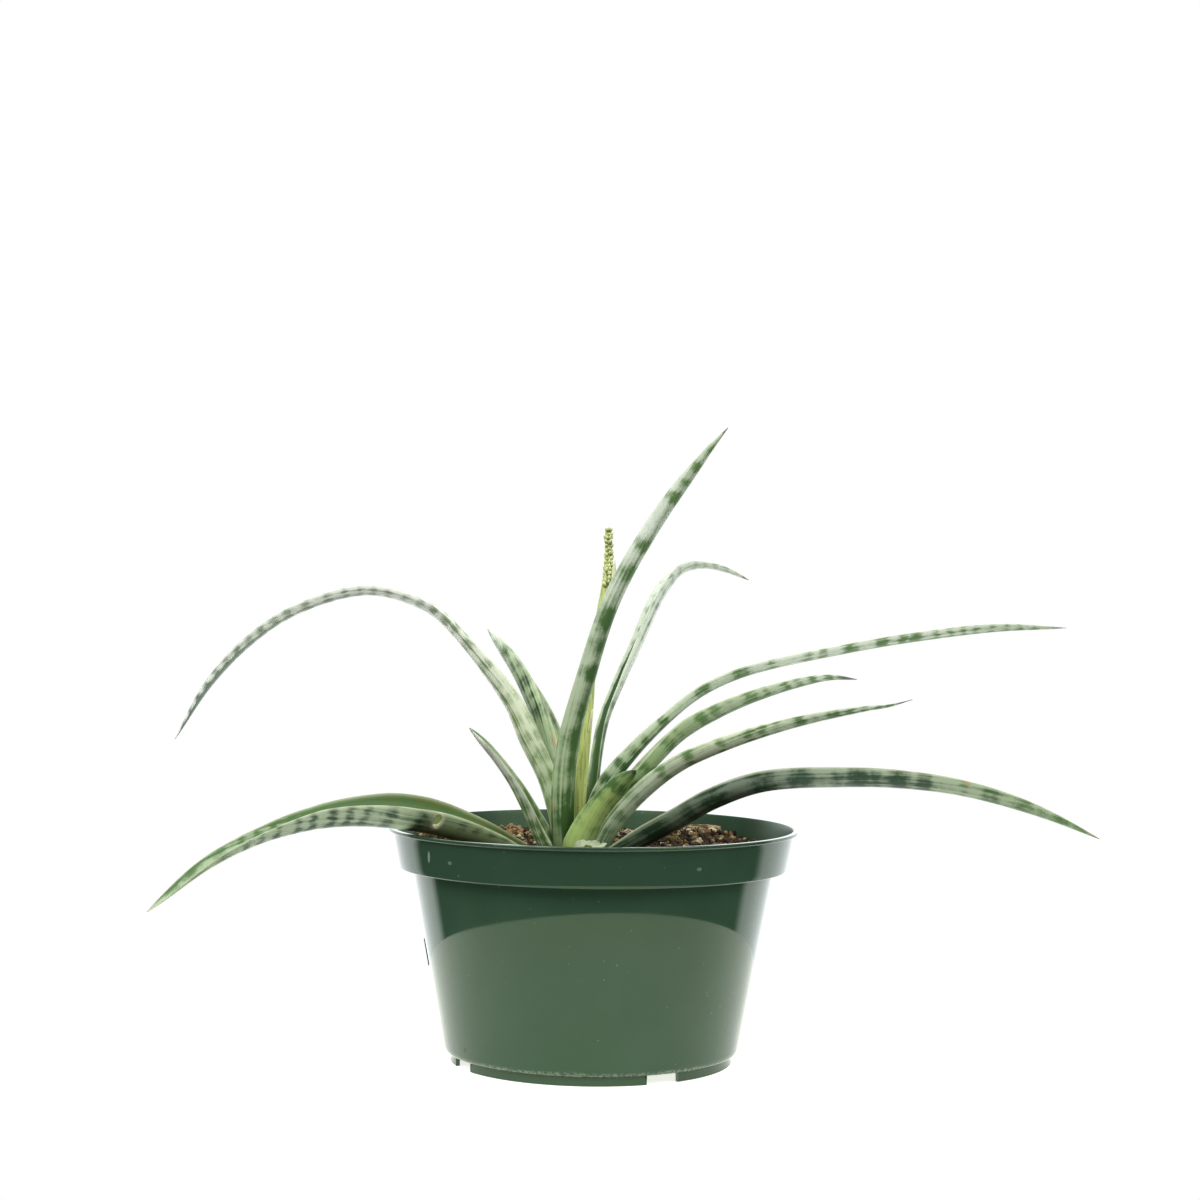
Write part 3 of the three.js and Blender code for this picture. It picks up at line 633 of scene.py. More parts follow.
def closed_grid(grid):
    """Faces of a tube of rings: quads between neighbouring rings, and a fan to a pole at each end.

    The grid has one ring of points in each row, running round anticlockwise seen from its last row. The
    points come back with the two poles, the middles of the end rings, added at their end.
    """
    rows, columns = grid.shape[:2]
    number = np.arange(rows * columns).reshape(rows, columns)
    right = np.roll(number, -1, axis=1)
    quads = np.stack([number[:-1], right[:-1], right[1:], number[1:]], axis=-1).reshape(-1, 4)
    first, last = rows * columns, rows * columns + 1
    base = np.stack([right[0], number[0], np.full(columns, first)], axis=-1)
    tip = np.stack([number[-1], right[-1], np.full(columns, last)], axis=-1)
    points = np.vstack([grid.reshape(-1, 3), grid[0].mean(axis=0), grid[-1].mean(axis=0)])
    return points, quads, np.vstack([base, tip])


def with_poles(values):
    """Values of a grid's points as one list, with those of the two poles added at its end."""
    ends = [values[0].mean(axis=0), values[-1].mean(axis=0)]
    return np.vstack([values.reshape(-1, values.shape[-1]), *ends])


def finish_piece(obj, slot, *nodes):
    """Stands the piece for its nodes, and makes it ride on the plant's one body."""
    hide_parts(*nodes)
    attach(obj, "root")


def stand_in(name, grid, material, slot, node, attributes=None):
    """A piece made of a closed grid, in place of its node."""
    points, quads, fans = closed_grid(grid)
    obj = mesh_object(name, points, quads.tolist() + fans.tolist(), material, attributes)
    finish_piece(obj, slot, node)


def spine(path, rows):
    """A centripetal Catmull-Rom curve through the path's points, read at even steps of its length.

    Between two points b and c with neighbours a and d it is the cubic whose slopes at b and c are the
    differences of the neighbouring chords, each chord timed by the square root of its length. Returns
    the points, the unit tangents, the steps as fractions and the whole length.
    """
    knots = np.array(path, float) * MM + POT_AXIS
    ends = np.vstack([2 * knots[0] - knots[1], knots, 2 * knots[-1] - knots[-2]])
    times = np.linalg.norm(np.diff(ends, axis=0), axis=1)[:, None] ** 0.5
    a, b, c, d = (ends[i:len(ends) - 3 + i, None] for i in range(4))
    before, between, after = (times[i:len(times) - 2 + i, None] for i in range(3))
    leave = ((b - a) / before - (c - a) / (before + between) + (c - b) / between) * between
    reach = ((c - b) / between - (d - b) / (between + after) + (d - c) / after) * between
    t = np.linspace(0, 1, 60, endpoint=False)[None, :, None]
    cubic = 2 * (b - c) + leave + reach
    square = 3 * (c - b) - 2 * leave - reach
    curve = cubic * t ** 3 + square * t ** 2 + leave * t + b
    curve = np.vstack([curve.reshape(-1, 3), knots[-1]])
    length = np.concatenate([[0], np.cumsum(np.linalg.norm(np.diff(curve, axis=0), axis=1))])
    s = np.linspace(0, 1, rows)
    points = np.stack([np.interp(s * length[-1], length, curve[:, axis]) for axis in range(3)], axis=1)
    tangents = np.gradient(points, axis=0)
    tangents /= np.linalg.norm(tangents, axis=1)[:, None]
    return points, tangents, s, length[-1]


def blade(spec, row_step=0.7, half_columns=26):
    """A channelled leaf as a grid of points, with its places across and along it.

    Each section is an arc of radius R = width / 2 sin(cup). The place a runs from -1 to 1 between the
    margins, at the angle a * cup. The flesh is thickest in the middle and falls with a^2 to the margin,
    where the outer and the inner side meet in a round edge. Rows run from base to tip; a ring goes over
    the outer side and back over the inner one.
    """
    length = spine(spec["path"], 200)[3]
    points, tangents, s, length = spine(spec["path"], max(24, round(length / MM / row_step)))
    heading = points[-1] - points[0]
    heading[2] = 0
    level = np.cross([0, 0, 1], heading / np.linalg.norm(heading))
    across = level - (tangents @ level)[:, None] * tangents
    across /= np.linalg.norm(across, axis=1)[:, None]
    roll = np.radians(along(spec["roll"], s))[:, None]
    side = across * np.cos(roll) + np.cross(tangents, across) * np.sin(roll)
    up = np.cross(tangents, side)
    point = np.clip((s - TIP_START) / (1 - TIP_START), 0, 1)
    width = np.maximum(TIP_WIDTH, along(spec["widths"], s) * (1 - point ** 2) ** 0.7)[:, None] * MM
    flesh = np.minimum(spec["thickness"] * MM * (1 - 0.5 * s)[:, None], width * 0.3)
    cup = np.radians(along(spec["cup"], s))[:, None]
    radius = width / 2 / np.sin(cup)
    turn = np.sin(np.linspace(-np.pi / 2, np.pi / 2, half_columns))
    place = np.concatenate([turn, turn[-2:0:-1]])[None, :]
    outer = np.concatenate([np.ones(half_columns), -np.ones(half_columns - 2)])[None, :]
    half = flesh / 2 * (1 - (1 - MARGIN) * place ** 2)
    rounding = np.sqrt(np.clip(1 - np.abs(place) ** 24, 0, 1))
    reach = radius - half + outer * half * rounding
    angle = cup * place
    middle = radius * (1 + np.cos(cup)) / 2
    x = reach * np.sin(angle)
    y = middle - reach * np.cos(angle)
    grid = points[:, None] + x[..., None] * side[:, None] + y[..., None] * up[:, None]
    place = np.broadcast_to(place, x.shape)
    inner = np.broadcast_to((outer < 0) * 1.0, x.shape)
    return grid, place, inner, radius * angle, np.broadcast_to(s[:, None] * length, x.shape)


def leaf_marks(spec, place, inner, v):
    """Where a leaf is banded, has painted shade or light, is edged, dry, inside and lined, and where it has
    a spot.

    A band is strength * exp(-|d / w|^3) of the distance d along the leaf from its middle line, which
    slants by lean, bends back by chevron towards the margins and wavers by a sine of its own in each
    column; where bands meet the strongest holds. A spot is exp(-r^2) of the distance r from its middle
    in half sizes. The other marks are smooth steps across or along the leaf.
    """
    v = v / MM
    s = v / v.max()
    line = v - spec.get("lean", 0) * place - spec.get("chevron", 0) * np.abs(place)
    phase = np.random.default_rng(5).uniform(0, 2 * np.pi, v.shape[1])
    line = line + BAND_WAVER * np.sin(v / BAND_WAVE + phase)
    band = np.zeros_like(v)
    for centre, half, strength in spec["bands"]:
        away = np.abs((line - centre) / (BAND_SPREAD * half))
        band = np.maximum(band, strength * np.exp(-away ** 3))
    band = band * (1 - spec.get("fade", 0) * smooth(place, 0.0, -0.7))
    # Painted shade on the outer side and in the inner channel, and painted light where an amount is below
    # 0.
    shade = np.zeros_like(v)
    for key, here in (("side", inner < 0.5), ("groove_shade", inner > 0.5)):
        for amounts, start, end in spec.get(key, ()):
            shade = shade + here * along(amounts, s) * smooth(place, start, end)
    edge = smooth(np.abs(place), 0.9, 0.985)
    tip_length = spec.get("tip", PLAIN_TIP)[1]
    dry = smooth(v, v.max() - tip_length, v.max() - 0.15 * tip_length)
    lines = spec.get("lines", 1) * (1.25 - 0.35 * smooth(v, 20, 90))
    spot = np.zeros_like(v)
    for centre, middle, half, half_across in spec.get("spots", ()):
        away = ((v - centre) / half) ** 2 + ((place - middle) / half_across) ** 2
        spot = np.maximum(spot, np.exp(-away))
    return np.stack([band, shade, edge], axis=-1), np.stack([dry, inner, lines], axis=-1), spot


def colours_along(names, s):
    """The linear colours named at even steps along a leaf, read at the fractions s of the way along."""
    stops = np.array([linear(LEAF_COLOURS[name])[:3] for name in names])
    return np.stack([along(stops[:, part], s) for part in range(3)], axis=-1)


def leaf_finish(name, spec, seed, sizes):
    """A waxy leaf, whose skin goes from its ground colour to its band colour by one darkness.

    The darkness is the sum of the bands, faded in blotches, of the painted shade and light across the leaf
    and of the swings of three noises: streaks, blotches and hairs. Margins are pale, and the tip is dry.
    """
    n = Finish(name + "_skin", roughness=sizes.roughness, specular_ior_level=0.17)
    u, v, spot = n.attribute("blade")
    band, shade, edge = n.attribute("marks")
    dry, inner, lines = n.attribute("age")
    side = n.math("MULTIPLY_ADD", inner, 7.0, seed)
    streak, hair, blotch = (n.stretched((u, v, side), scales, detail) for scales, detail in LEAF_NOISES)
    faded = n.math("MULTIPLY", band, n.math("MULTIPLY_ADD", blotch, 0.5, 0.65))
    depth = n.math("ADD", n.math("ADD", faded, shade), 0.06)
    depth = n.swing(streak, n.math("MULTIPLY", lines, 4.0 * sizes.streaks), depth)
    depth = n.swing(blotch, 0.6, depth)
    depth = n.swing(hair, 0.65, depth)
    skin = n.mix(n.step(depth, 0.0, 1.05), n.colour("ground"), n.colour("deep"))
    skin = n.mix(n.step(spot, 0.2, 0.6, 0.6), skin, linear(spec.get("spot_colour", SPOT_COLOUR)))
    skin = n.mix(n.math("MULTIPLY", edge, 0.45), skin, linear(sizes.margin_hex))
    dried = n.step(n.swing(blotch, 0.6, dry), 0.35, 0.8)
    n.paint(n.mix(dried, skin, linear(spec.get("tip", PLAIN_TIP)[0])))
    n.bump(streak, 0.3, 0.0002)
    return n.material


def cell_means(values):
    """The mean of the four corners of each cell of a grid."""
    return (values[:-1, :-1] + values[1:, :-1] + values[:-1, 1:] + values[1:, 1:]) / 4


def cut_hole(points, quads, grid_shape, v, place, hole):
    """A hole through both sides of a leaf: its cells are left out and its wall joins the two sides.

    hole is its middle along in millimetres and across as a place, and its half sizes in the same two
    measures. Cells whose middles lie inside that ellipse go on both sides, the corners round them are
    drawn onto the ellipse by the grid's own slopes, and every edge between a kept and a left-out cell
    becomes a wall face.
    """
    rows, columns = grid_shape
    half = columns // 2 + 1
    number = np.arange(rows * columns).reshape(rows, columns)
    outside = number[:, :half]
    inside = np.concatenate([number[:, half - 1:], number[:, :1]], axis=1)[:, ::-1]
    centre_v, centre_place, half_v, half_place = hole
    dv = (v[:, :half] / MM - centre_v) / half_v
    du = (place[:, :half] - centre_place) / half_place
    gone = np.hypot(cell_means(dv), cell_means(du)) < 1
    covered = cell_means(np.pad(gone, 1) * 1.0)
    rim = (covered > 0) & (covered < 1)
    grow = np.where(rim, 1 / np.maximum(np.hypot(dv, du), 0.3) - 1, 0)[..., None]
    steps_v = dv[..., None] / np.gradient(dv, axis=0)[..., None]
    steps_u = du[..., None] / np.gradient(du, axis=1)[..., None]
    for layer in (outside, inside):
        slope_v, slope_u = np.gradient(points[layer], axis=0), np.gradient(points[layer], axis=1)
        move = (slope_v * steps_v + slope_u * steps_u) * grow
        points[layer[rim]] += move[rim]
    cell_numbers = np.arange((rows - 1) * columns).reshape(rows - 1, columns)
    keep = np.ones(len(quads), bool)
    keep[cell_numbers[:, :half - 1][gone]] = False
    keep[cell_numbers[:, half - 1:][:, ::-1][gone]] = False
    row, column = np.nonzero(gone[:, 1:] != gone[:, :-1])
    ends = (row, column + 1), (row + 1, column + 1)
    walls = [(*ends, gone[row, column + 1])]
    row, column = np.nonzero(gone[1:] != gone[:-1])
    ends = (row + 1, column), (row + 1, column + 1)
    walls.append((*ends, ~gone[row + 1, column]))
    faces = [quads[keep]]
    for one, two, flip in walls:
        face = np.stack([outside[one], outside[two], inside[two], inside[one]], axis=-1)
        faces.append(np.where(flip[:, None], face[:, ::-1], face))
    return np.vstack(faces)


def make_leaf(name, spec, seed, sizes):
    """One leaf blade with its marks and its finish, in place of its node."""
    grid, place, inner, u, v = blade(spec)
    marks, age, spot = leaf_marks(spec, place, inner, v)
    s = v / v.max()
    within = inner[..., None] > 0.5
    ground = np.where(within, colours_along(spec.get("inside", spec["ground"]), s),
                      colours_along(spec["ground"], s))
    deep = np.where(within, colours_along(spec.get("inside_band", spec["band"]), s),
                    colours_along(spec["band"], s))
    points, quads, fans = closed_grid(grid)
    if "hole" in spec:
        quads = cut_hole(points, quads, grid.shape[:2], v, place, spec["hole"])
    attributes = {
        "blade": with_poles(np.stack([u, v, spot], axis=-1)),
        "marks": with_poles(marks),
        "age": with_poles(age),
        "ground": with_poles(ground),
        "deep": with_poles(deep),
    }
    material = leaf_finish(name, spec, seed, sizes)
    obj = mesh_object(name + "_blade", points, quads.tolist() + fans.tolist(), material, attributes)
    finish_piece(obj, "leaf", name)


def soil_height(x, y):
    """The soil's height in metres over a place in metres round the pot's axis: a slope to the right, a
    bell-shaped heap at the back right and crossed ripples."""
    x, y = x / MM, y / MM
    away = np.hypot(x - SOIL["heap"][0], y - SOIL["heap"][1]) / SOIL["heap_radius"]
    ripple = np.sin(x / 4.1 + 1) * np.cos(y / 3.7) + 0.6 * np.sin(x / 2.3 - y / 2.9)
    height = SOIL["level"] - SOIL["fall"] * x + SOIL["heap_height"] * np.exp(-away ** 2 / 2)
    return (height + SOIL["ripple"] * ripple) * MM


def body_radius(z):
    """The outer radius of the pot's body at a height in millimetres: a straight line from foot to band."""
    share = (z - POT["foot_height"]) / (POT["band_bottom"] - POT["foot_height"])
    return POT["body_bottom_radius"] + share * (POT["body_top_radius"] - POT["body_bottom_radius"])


def soil_radius(z):
    """The soil's outer radius at a height in millimetres, just inside the pot's wall."""
    return body_radius(z) - POT["wall"] - SOIL["gap"]


def rounded(corners, radii, steps=5):
    """A profile whose corners are eased: each is a parabola between the points one radius away from it.

    The parabola is (1-t)^2 A + 2t(1-t) P + t^2 C for a corner P with the points A and C on its two sides.
    """
    corners = np.array(corners, float)
    radii = np.array(radii, float)[:, None]
    before = np.vstack([corners[:1], corners[:-1]]) - corners
    after = np.vstack([corners[1:], corners[-1:]]) - corners
    cut_before = np.minimum(radii / np.maximum(np.linalg.norm(before, axis=1)[:, None], 1e-9), 0.49)
    cut_after = np.minimum(radii / np.maximum(np.linalg.norm(after, axis=1)[:, None], 1e-9), 0.49)
    a = (corners + before * cut_before)[:, None]
    c = (corners + after * cut_after)[:, None]
    t = np.linspace(0, 1, steps)[None, :, None]
    return ((1 - t) ** 2 * a + 2 * t * (1 - t) * corners[:, None] + t ** 2 * c).reshape(-1, 2)


def supported(profile, longest=3.0):
    """A profile with more points on its long straight stretches, crowded towards their ends.

    The points between two others lie at the shares (1 - cos(pi k / n)) / 2, so that the shading of a
    straight wall isn't bent by the corners at its ends.
    """
    pieces = []
    for start, end in zip(profile[:-1], profile[1:]):
        count = max(1, round(float(np.linalg.norm(end - start)) / longest))
        share = (1 - np.cos(np.pi * np.arange(count) / count))[:, None] / 2
        pieces.append(start + (end - start) * share)
    return np.vstack([*pieces, profile[-1:]])


def band_inside(z):
    """The inner radius of the pot's rim band at a height in millimetres: a straight line up its wall."""
    rise = POT["height"] - POT["lip_thickness"] - POT["band_bottom"]
    slope = (POT["band_top_radius"] - POT["band_bottom_radius"]) / rise
    return POT["band_bottom_radius"] - POT["wall"] + slope * (z - POT["band_bottom"])


def pot_profile():
    """The corners of the pot's half section, up the outside and down the inside, and their easings."""
    p = POT
    foot_top = p["foot_height"]
    foot_in = p["foot_radius"] - p["foot_width"]
    drain_in = foot_in - NOTCHES["drain_depth"]
    floor_top = foot_top + p["floor"]
    bottom, top = p["band_bottom"], p["height"]
    lip_low = top - p["lip_thickness"]
    corner = p["floor_corner"]
    return [
        (drain_in - 0.4, foot_top, 0.1),
        (drain_in, foot_top, 0.1),
        (foot_in - 0.4, foot_top, 0.1),
        (foot_in, foot_top, 0.2),
        (foot_in, 0, 0.2),
        (p["foot_radius"], 0, 0.35),
        (p["foot_radius"] - p["foot_draft"], foot_top - 0.3, 0.2),
        (body_radius(foot_top + 0.3) - 0.3, foot_top + 0.3, p["corner_radius"]),
        (p["body_top_radius"], bottom, 0.4),
        (p["band_bottom_radius"], bottom, 0.5),
        (p["band_top_radius"], lip_low, 0.4),
        (p["lip_radius"], lip_low, 0.45),
        (p["lip_radius"], top, 0.5),
        (band_inside(top), top, 0.4),
        (band_inside(bottom + 1), bottom + 1, 0.5),
        (body_radius(bottom) - p["wall"], bottom, 0.6),
        (body_radius(floor_top + 4) - p["wall"], floor_top + corner, 1.5),
        (body_radius(floor_top) - p["wall"] - corner, floor_top, 1.5),
        (1.0, floor_top, 0.1),
    ]


def pot_grid():
    """The pot as its profile turned about its axis, with the foot lifted away in its notches.

    A notch is where the distance along the foot from its middle is under half its width: there the
    foot's ring ends at the floor's level, and the drain recess above it goes into the floor.
    """
    corners = np.array(pot_profile())
    profile = supported(rounded(corners[:, :2], corners[:, 2]))
    notch_half = math.degrees(math.asin(NOTCHES["width"] / 2 / POT["foot_radius"]))
    drain_half = math.degrees(math.asin(NOTCHES["drain_width"] / 2 / (POT["foot_radius"] - 4)))
    halves = [half + nudge for half in (notch_half, drain_half) for nudge in (-0.06, 0.06)]
    edges = [angle + side * half for angle in NOTCHES["angles"] for side in (-1, 1) for half in halves]
    degrees = np.unique(np.mod(np.concatenate([np.linspace(0, 360, 300, endpoint=False), edges]), 360))
    away = np.min([np.abs((degrees - angle + 180) % 360 - 180) for angle in NOTCHES["angles"]], axis=0)
    r, z = profile[:, :1] + 0 * degrees, profile[:, 1:] + 0 * degrees
    foot = POT["foot_height"] - 0.05
    z = np.where((away < notch_half) & (z < foot), foot, z)
    drain_out = POT["foot_radius"] - POT["foot_width"]
    under = (np.abs(profile[:, 1:] - POT["foot_height"]) < 0.02) & (r < drain_out - 0.38)
    in_drain = under & (away < drain_half) & (r > drain_out - NOTCHES["drain_depth"] - 0.02)
    z = np.where(in_drain, POT["foot_height"] + POT["floor"] - 0.15, z)
    angle = np.radians(degrees)
    grid = np.stack([r * np.sin(angle), -r * np.cos(angle), z], axis=-1) * MM + POT_AXIS
    past_lip = np.cumsum(profile[:, 1] > POT["height"] - 0.01)[:, None] > 0
    inside = past_lip & (r < POT["band_top_radius"] - 0.5)
    drain = np.stack([in_drain * 1.0, inside * 1.0, 0 * r], axis=-1)
    return grid, drain


def pot_finish(sizes):
    """Dark green moulded plastic with a slight haze of dust, wear on its foot line, a few marks and a
    painted highlight.
    """
    n = Finish("pot_plastic", specular_ior_level=0.37, ior=1.5, specular_tint=linear("#d6e6bc"))
    whole = n.place()
    parts = n.parts(whole)
    drain, inside, _ = n.attribute("drain")
    haze = n.noise(whole, 34.0, 4.0)
    dust = n.noise(whole, 900.0, 2.0)
    base = n.mix(n.step(haze, 0.35, 0.75, 0.3), linear(sizes.plastic_hex), linear("#34493a"))
    base = n.mix(n.math("MULTIPLY", inside, 0.3), base, linear("#4d6b50"))
    above_foot = n.math("ABSOLUTE", n.math("SUBTRACT", parts[2], FOOT_LINE * MM))
    line = n.step(n.swing(haze, 0.0016, above_foot), 0.0011, 0.0002)
    worn = n.math("MULTIPLY", line, n.step(dust, 0.42, 0.62, 0.25))
    base = n.mix(worn, base, linear("#9aa58f"))
    speck = n.step(n.noise(whole, 620.0, 1.0), 0.765, 0.79, 0.12)
    base = n.mix(speck, base, linear("#aab5a6"))
    # The first mark is a painted highlight on the gate's dent.
    for mark in POT_MARKS_AND_HIGHLIGHT:
        amount = n.math("MULTIPLY", n.spot(parts, mark), mark["strength"])
        base = n.mix(amount, base, linear(mark["colour"]))
    # The drain recess is painted near-black: the soil seen through the drain, and painted shade inside it.
    n.paint(n.mix(drain, base, linear("#17120e")))
    gloss = n.math("MULTIPLY_ADD", n.step(haze, 0.4, 0.8), 0.02, sizes.gloss)
    n.put(n.shader.inputs["Roughness"], n.math("MULTIPLY_ADD", inside, 0.32, gloss))
    relief = n.math("MULTIPLY_ADD", n.spot(parts, GATE), -0.5, n.math("MULTIPLY", haze, 0.06))
    n.bump(relief, 0.2, 0.0006)
    return n.material


def soil_finish():
    """Dark damp bark dust, mottled in two sizes."""
    n = Finish("soil_dust", roughness=0.95, specular_ior_level=0.2)
    whole = n.place()
    coarse = n.noise(whole, 420.0, 5.0)
    fine = n.noise(whole, 2200.0, 3.0)
    n.coats("#1a120c", (coarse, 0.38, 0.68, 1.0, "#4a3726"), (fine, 0.6, 0.75, 0.4, "#7d6243"))
    n.bump(n.math("ADD", coarse, n.math("MULTIPLY", fine, 0.5)), 0.8, 0.0008)
    return n.material


def grit_finish():
    """Chips of bark and grit, each with its own colour from the mesh, with a rough mottled skin."""
    n = Finish("grit_chips", roughness=0.85, specular_ior_level=0.25)
    tone = n.colour("tone")
    grain = n.noise(n.place(), 1500.0, 4.0)
    dark = n.mix(1.0, tone, (0.35, 0.3, 0.26, 1), "MULTIPLY")
    n.paint(n.mix(n.step(grain, 0.62, 0.38, 0.75), tone, dark))
    n.bump(grain, 0.6, 0.0004)
    return n.material


def wood_finish(name, code):
    """A piece of dry bark or wood, streaked along its length and darker in its cracks."""
    n = Finish(name + "_wood", roughness=0.85, specular_ior_level=0.25)
    whole = n.place()
    grain = n.stretched(n.parts(whole), (260.0, 1300.0, 1600.0), 5.0)
    crack = n.noise(whole, 900.0, 4.0)
    n.coats("#4a3320", (grain, 0.4, 0.62, 1.0, code), (crack, 0.6, 0.72, 0.6, "#2c1e14"))
    n.bump(n.math("ADD", grain, crack), 0.7, 0.0005)
    return n.material


def dry_finish(name, code, vein_code, patch_code):
    """A papery dry scale with veins and patches in two other colours."""
    n = Finish(name + "_paper", roughness=0.75, specular_ior_level=0.3)
    u, v, _ = n.attribute("blade")
    vein = n.stretched((u, v, 3.0), (2600.0, 130.0))
    patch = n.noise(n.place(), 350.0, 3.0)
    n.coats(code, (vein, 0.5, 0.7, 0.5, vein_code), (patch, 0.56, 0.7, 0.45, patch_code))
    n.bump(vein, 0.4, 0.0002)
    return n.material


def stalk_finish():
    """The flower stalk: fresh yellow-green with fine lengthwise lines and dark flecks."""
    n = Finish("stalk_skin", roughness=0.5, specular_ior_level=0.35)
    whole = n.place()
    lines = n.stretched(n.parts(whole), (1500.0, 1500.0, 60.0))
    flecks = n.noise(whole, 900.0, 2.0)
    n.coats("#c0c97c", (lines, 0.4, 0.65, 1.0, "#9aab58"), (flecks, 0.62, 0.72, 0.4, "#5f7a3c"))
    n.bump(lines, 0.3, 0.0002)
    return n.material


def bud_finish():
    """The buds: pale yellow-green, darker at the foot of each and mottled with olive."""
    n = Finish("bud_skin", roughness=0.5, specular_ior_level=0.35)
    height = n.attribute("bud")[0]
    mottle = n.noise(n.place(), 700.0, 3.0)
    n.coats("#6f7a3c", (height, -0.6, 0.6, 1.0, "#d3d99b"), (mottle, 0.55, 0.66, 0.7, "#59642b"))
    n.bump(mottle, 0.4, 0.0003)
    return n.material


def label_finish():
    """A bare matte sticker, slightly soiled."""
    n = Finish("label_film", roughness=0.55, specular_ior_level=0.3)
    stain = n.noise(n.place(), 260.0, 4.0)
    n.coats("#4d5f5b", (stain, 0.4, 0.7, 1.0, "#3a4a46"))
    n.bump(stain, 0.15, 0.0003)
    return n.material


def crown_finish():
    """The fleshy crown under the soil."""
    n = Finish("crown_flesh", roughness=0.6)
    blotch = n.noise(n.place(), 300.0, 4.0)
    n.coats("#b9c98a", (blotch, 0.4, 0.7, 1.0, "#8b7a55"))
    return n.material


def icosahedron():
    """The 12 corners of an icosahedron of radius 1 and its 20 faces, pointing out."""
    g = (1 + 5 ** 0.5) / 2
    corners = np.array([
        (-1, g, 0), (1, g, 0), (-1, -g, 0), (1, -g, 0), (0, -1, g), (0, 1, g),
        (0, -1, -g), (0, 1, -g), (g, 0, -1), (g, 0, 1), (-g, 0, -1), (-g, 0, 1),
    ]) / (1 + g * g) ** 0.5
    faces = np.array([
        (0, 11, 5), (0, 5, 1), (0, 1, 7), (0, 7, 10), (0, 10, 11), (1, 5, 9), (5, 11, 4),
        (11, 10, 2), (10, 7, 6), (7, 1, 8), (3, 9, 4), (3, 4, 2), (3, 2, 6), (3, 6, 8),
        (3, 8, 9), (4, 9, 5), (2, 4, 11), (6, 2, 10), (8, 6, 7), (9, 8, 1),
    ])
    return corners, faces


def ball(columns, rows, gap):
    """A sphere of radius 1 as a grid of latitudes, whose first and last are gap radians from the poles."""
    around = np.linspace(0, 2 * np.pi, columns, endpoint=False)[None, :]
    up = np.linspace(-np.pi / 2 + gap, np.pi / 2 - gap, rows)[:, None]
    return np.stack([np.cos(up) * np.cos(around), np.cos(up) * np.sin(around), np.sin(up + 0 * around)],
                    axis=-1)


def turned(vectors, yaw, pitch, bank):
    """Vectors turned by three angles each, about X, then Y, then Z."""
    x, y, z = vectors[..., 0], vectors[..., 1], vectors[..., 2]
    y, z = y * np.cos(bank) - z * np.sin(bank), y * np.sin(bank) + z * np.cos(bank)
    x, z = x * np.cos(pitch) + z * np.sin(pitch), -x * np.sin(pitch) + z * np.cos(pitch)
    x, y = x * np.cos(yaw) - y * np.sin(yaw), x * np.sin(yaw) + y * np.cos(yaw)
    return np.stack([x, y, z], axis=-1)


def clear_of_leaves(x, y, size):
    """Which places on the soil have no leaf or crown within a chip's reach, low enough to touch it."""
    free = np.hypot(x - GRIT["crown_x"] * MM, y) > GRIT["crown_radius"] * MM
    for spec in LEAVES.values():
        points, _, s, _ = spine(spec["path"], 80)
        low = points[:, 2] < GRIT["leaf_height"] * MM
        near = points[low] - POT_AXIS
        apart = np.hypot(x[:, None] - near[:, 0], y[:, None] - near[:, 1])
        width = along(spec["widths"], s)[low] * MM
        free &= np.all(apart > width * 0.5 + size[:, None] * 0.6, axis=1)
    return free


def make_grit(sizes):
    """Small angular chips strewn over the soil: icosahedra with jittered corners, scaled and turned."""
    rng = np.random.default_rng(7)
    count = sizes.chips
    angle = rng.uniform(0, 2 * np.pi, count)
    distance = GRIT["spread"] * MM * np.sqrt(rng.uniform(0, 1, count))
    size = sizes.chip_size * rng.uniform(0.5, 1.25, count)
    size = size * np.where(rng.uniform(0, 1, count) > 0.93, 1.6, 1)
    x, y = distance * np.cos(angle), distance * np.sin(angle)
    free = clear_of_leaves(x, y, size) & (distance + size * 0.6 < GRIT["edge"] * MM)
    x, y, size = x[free], y[free], size[free]
    count = len(x)
    corners, faces = icosahedron()
    shape = corners[None] * rng.uniform(0.65, 1.2, (count, 12, 1))
    shape = shape * (rng.uniform(0.65, 1.0, (count, 1, 3)) * size[:, None, None] / 2)
    spin = rng.uniform(0, 2 * np.pi, (3, count, 1))
    shape = turned(shape, spin[0], spin[1] * 0.15, spin[2] * 0.15)
    centre = np.stack([x, y, soil_height(x, y) + size * rng.uniform(-0.05, 0.3, count)], axis=-1)
    points = (shape + centre[:, None] + POT_AXIS).reshape(-1, 3)
    every = (faces[None] + 12 * np.arange(count)[:, None, None]).reshape(-1, 3)
    palette = np.array([linear(code)[:3] for code in GRIT_COLOURS])
    pick = rng.choice(len(palette), count, p=list(GRIT_COLOURS.values()))
    tone = palette[pick] * rng.uniform(0.65, 1.1, (count, 1))
    tones = {"tone": np.repeat(tone, 12, axis=0)}
    obj = mesh_object("soil_grit", points, every, grit_finish(), tones, flat=True)
    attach(obj, "root")


def make_soil():
    """The soil as one closed surface turned about the pot's axis: a flat bottom, the wall's taper, and a
    top whose height is the soil's own formula with a little crossed-wave roughness."""
    angle = np.linspace(0, 2 * np.pi, 280, endpoint=False)[None, :]
    floor = POT["foot_height"] + POT["floor"] + SOIL["gap"]
    sides = np.array([
        (soil_radius(floor) - 6, floor),
        (soil_radius(floor + 5), floor + 5),
        (soil_radius(POT["band_bottom"]), 72.6),
        (71.4, 73.6),
    ])
    top_radius = np.concatenate([np.linspace(72.8, 70, 3), np.linspace(69, 1, 90)])
    r = np.concatenate([sides[:, 0], top_radius])[:, None] * MM
    x, y = r * np.cos(angle), r * np.sin(angle)
    z = soil_height(x, y)
    rough = np.sin(x * 2100 + 3 * np.sin(y * 900)) * np.cos(y * 1900 + 2 * np.sin(x * 1100))
    z = z + rough * 0.00035
    z[:len(sides)] = sides[:, 1:] * MM
    stand_in("soil_surface", np.stack([x, y, z], axis=-1) + POT_AXIS, soil_finish(), "soil", "soil")


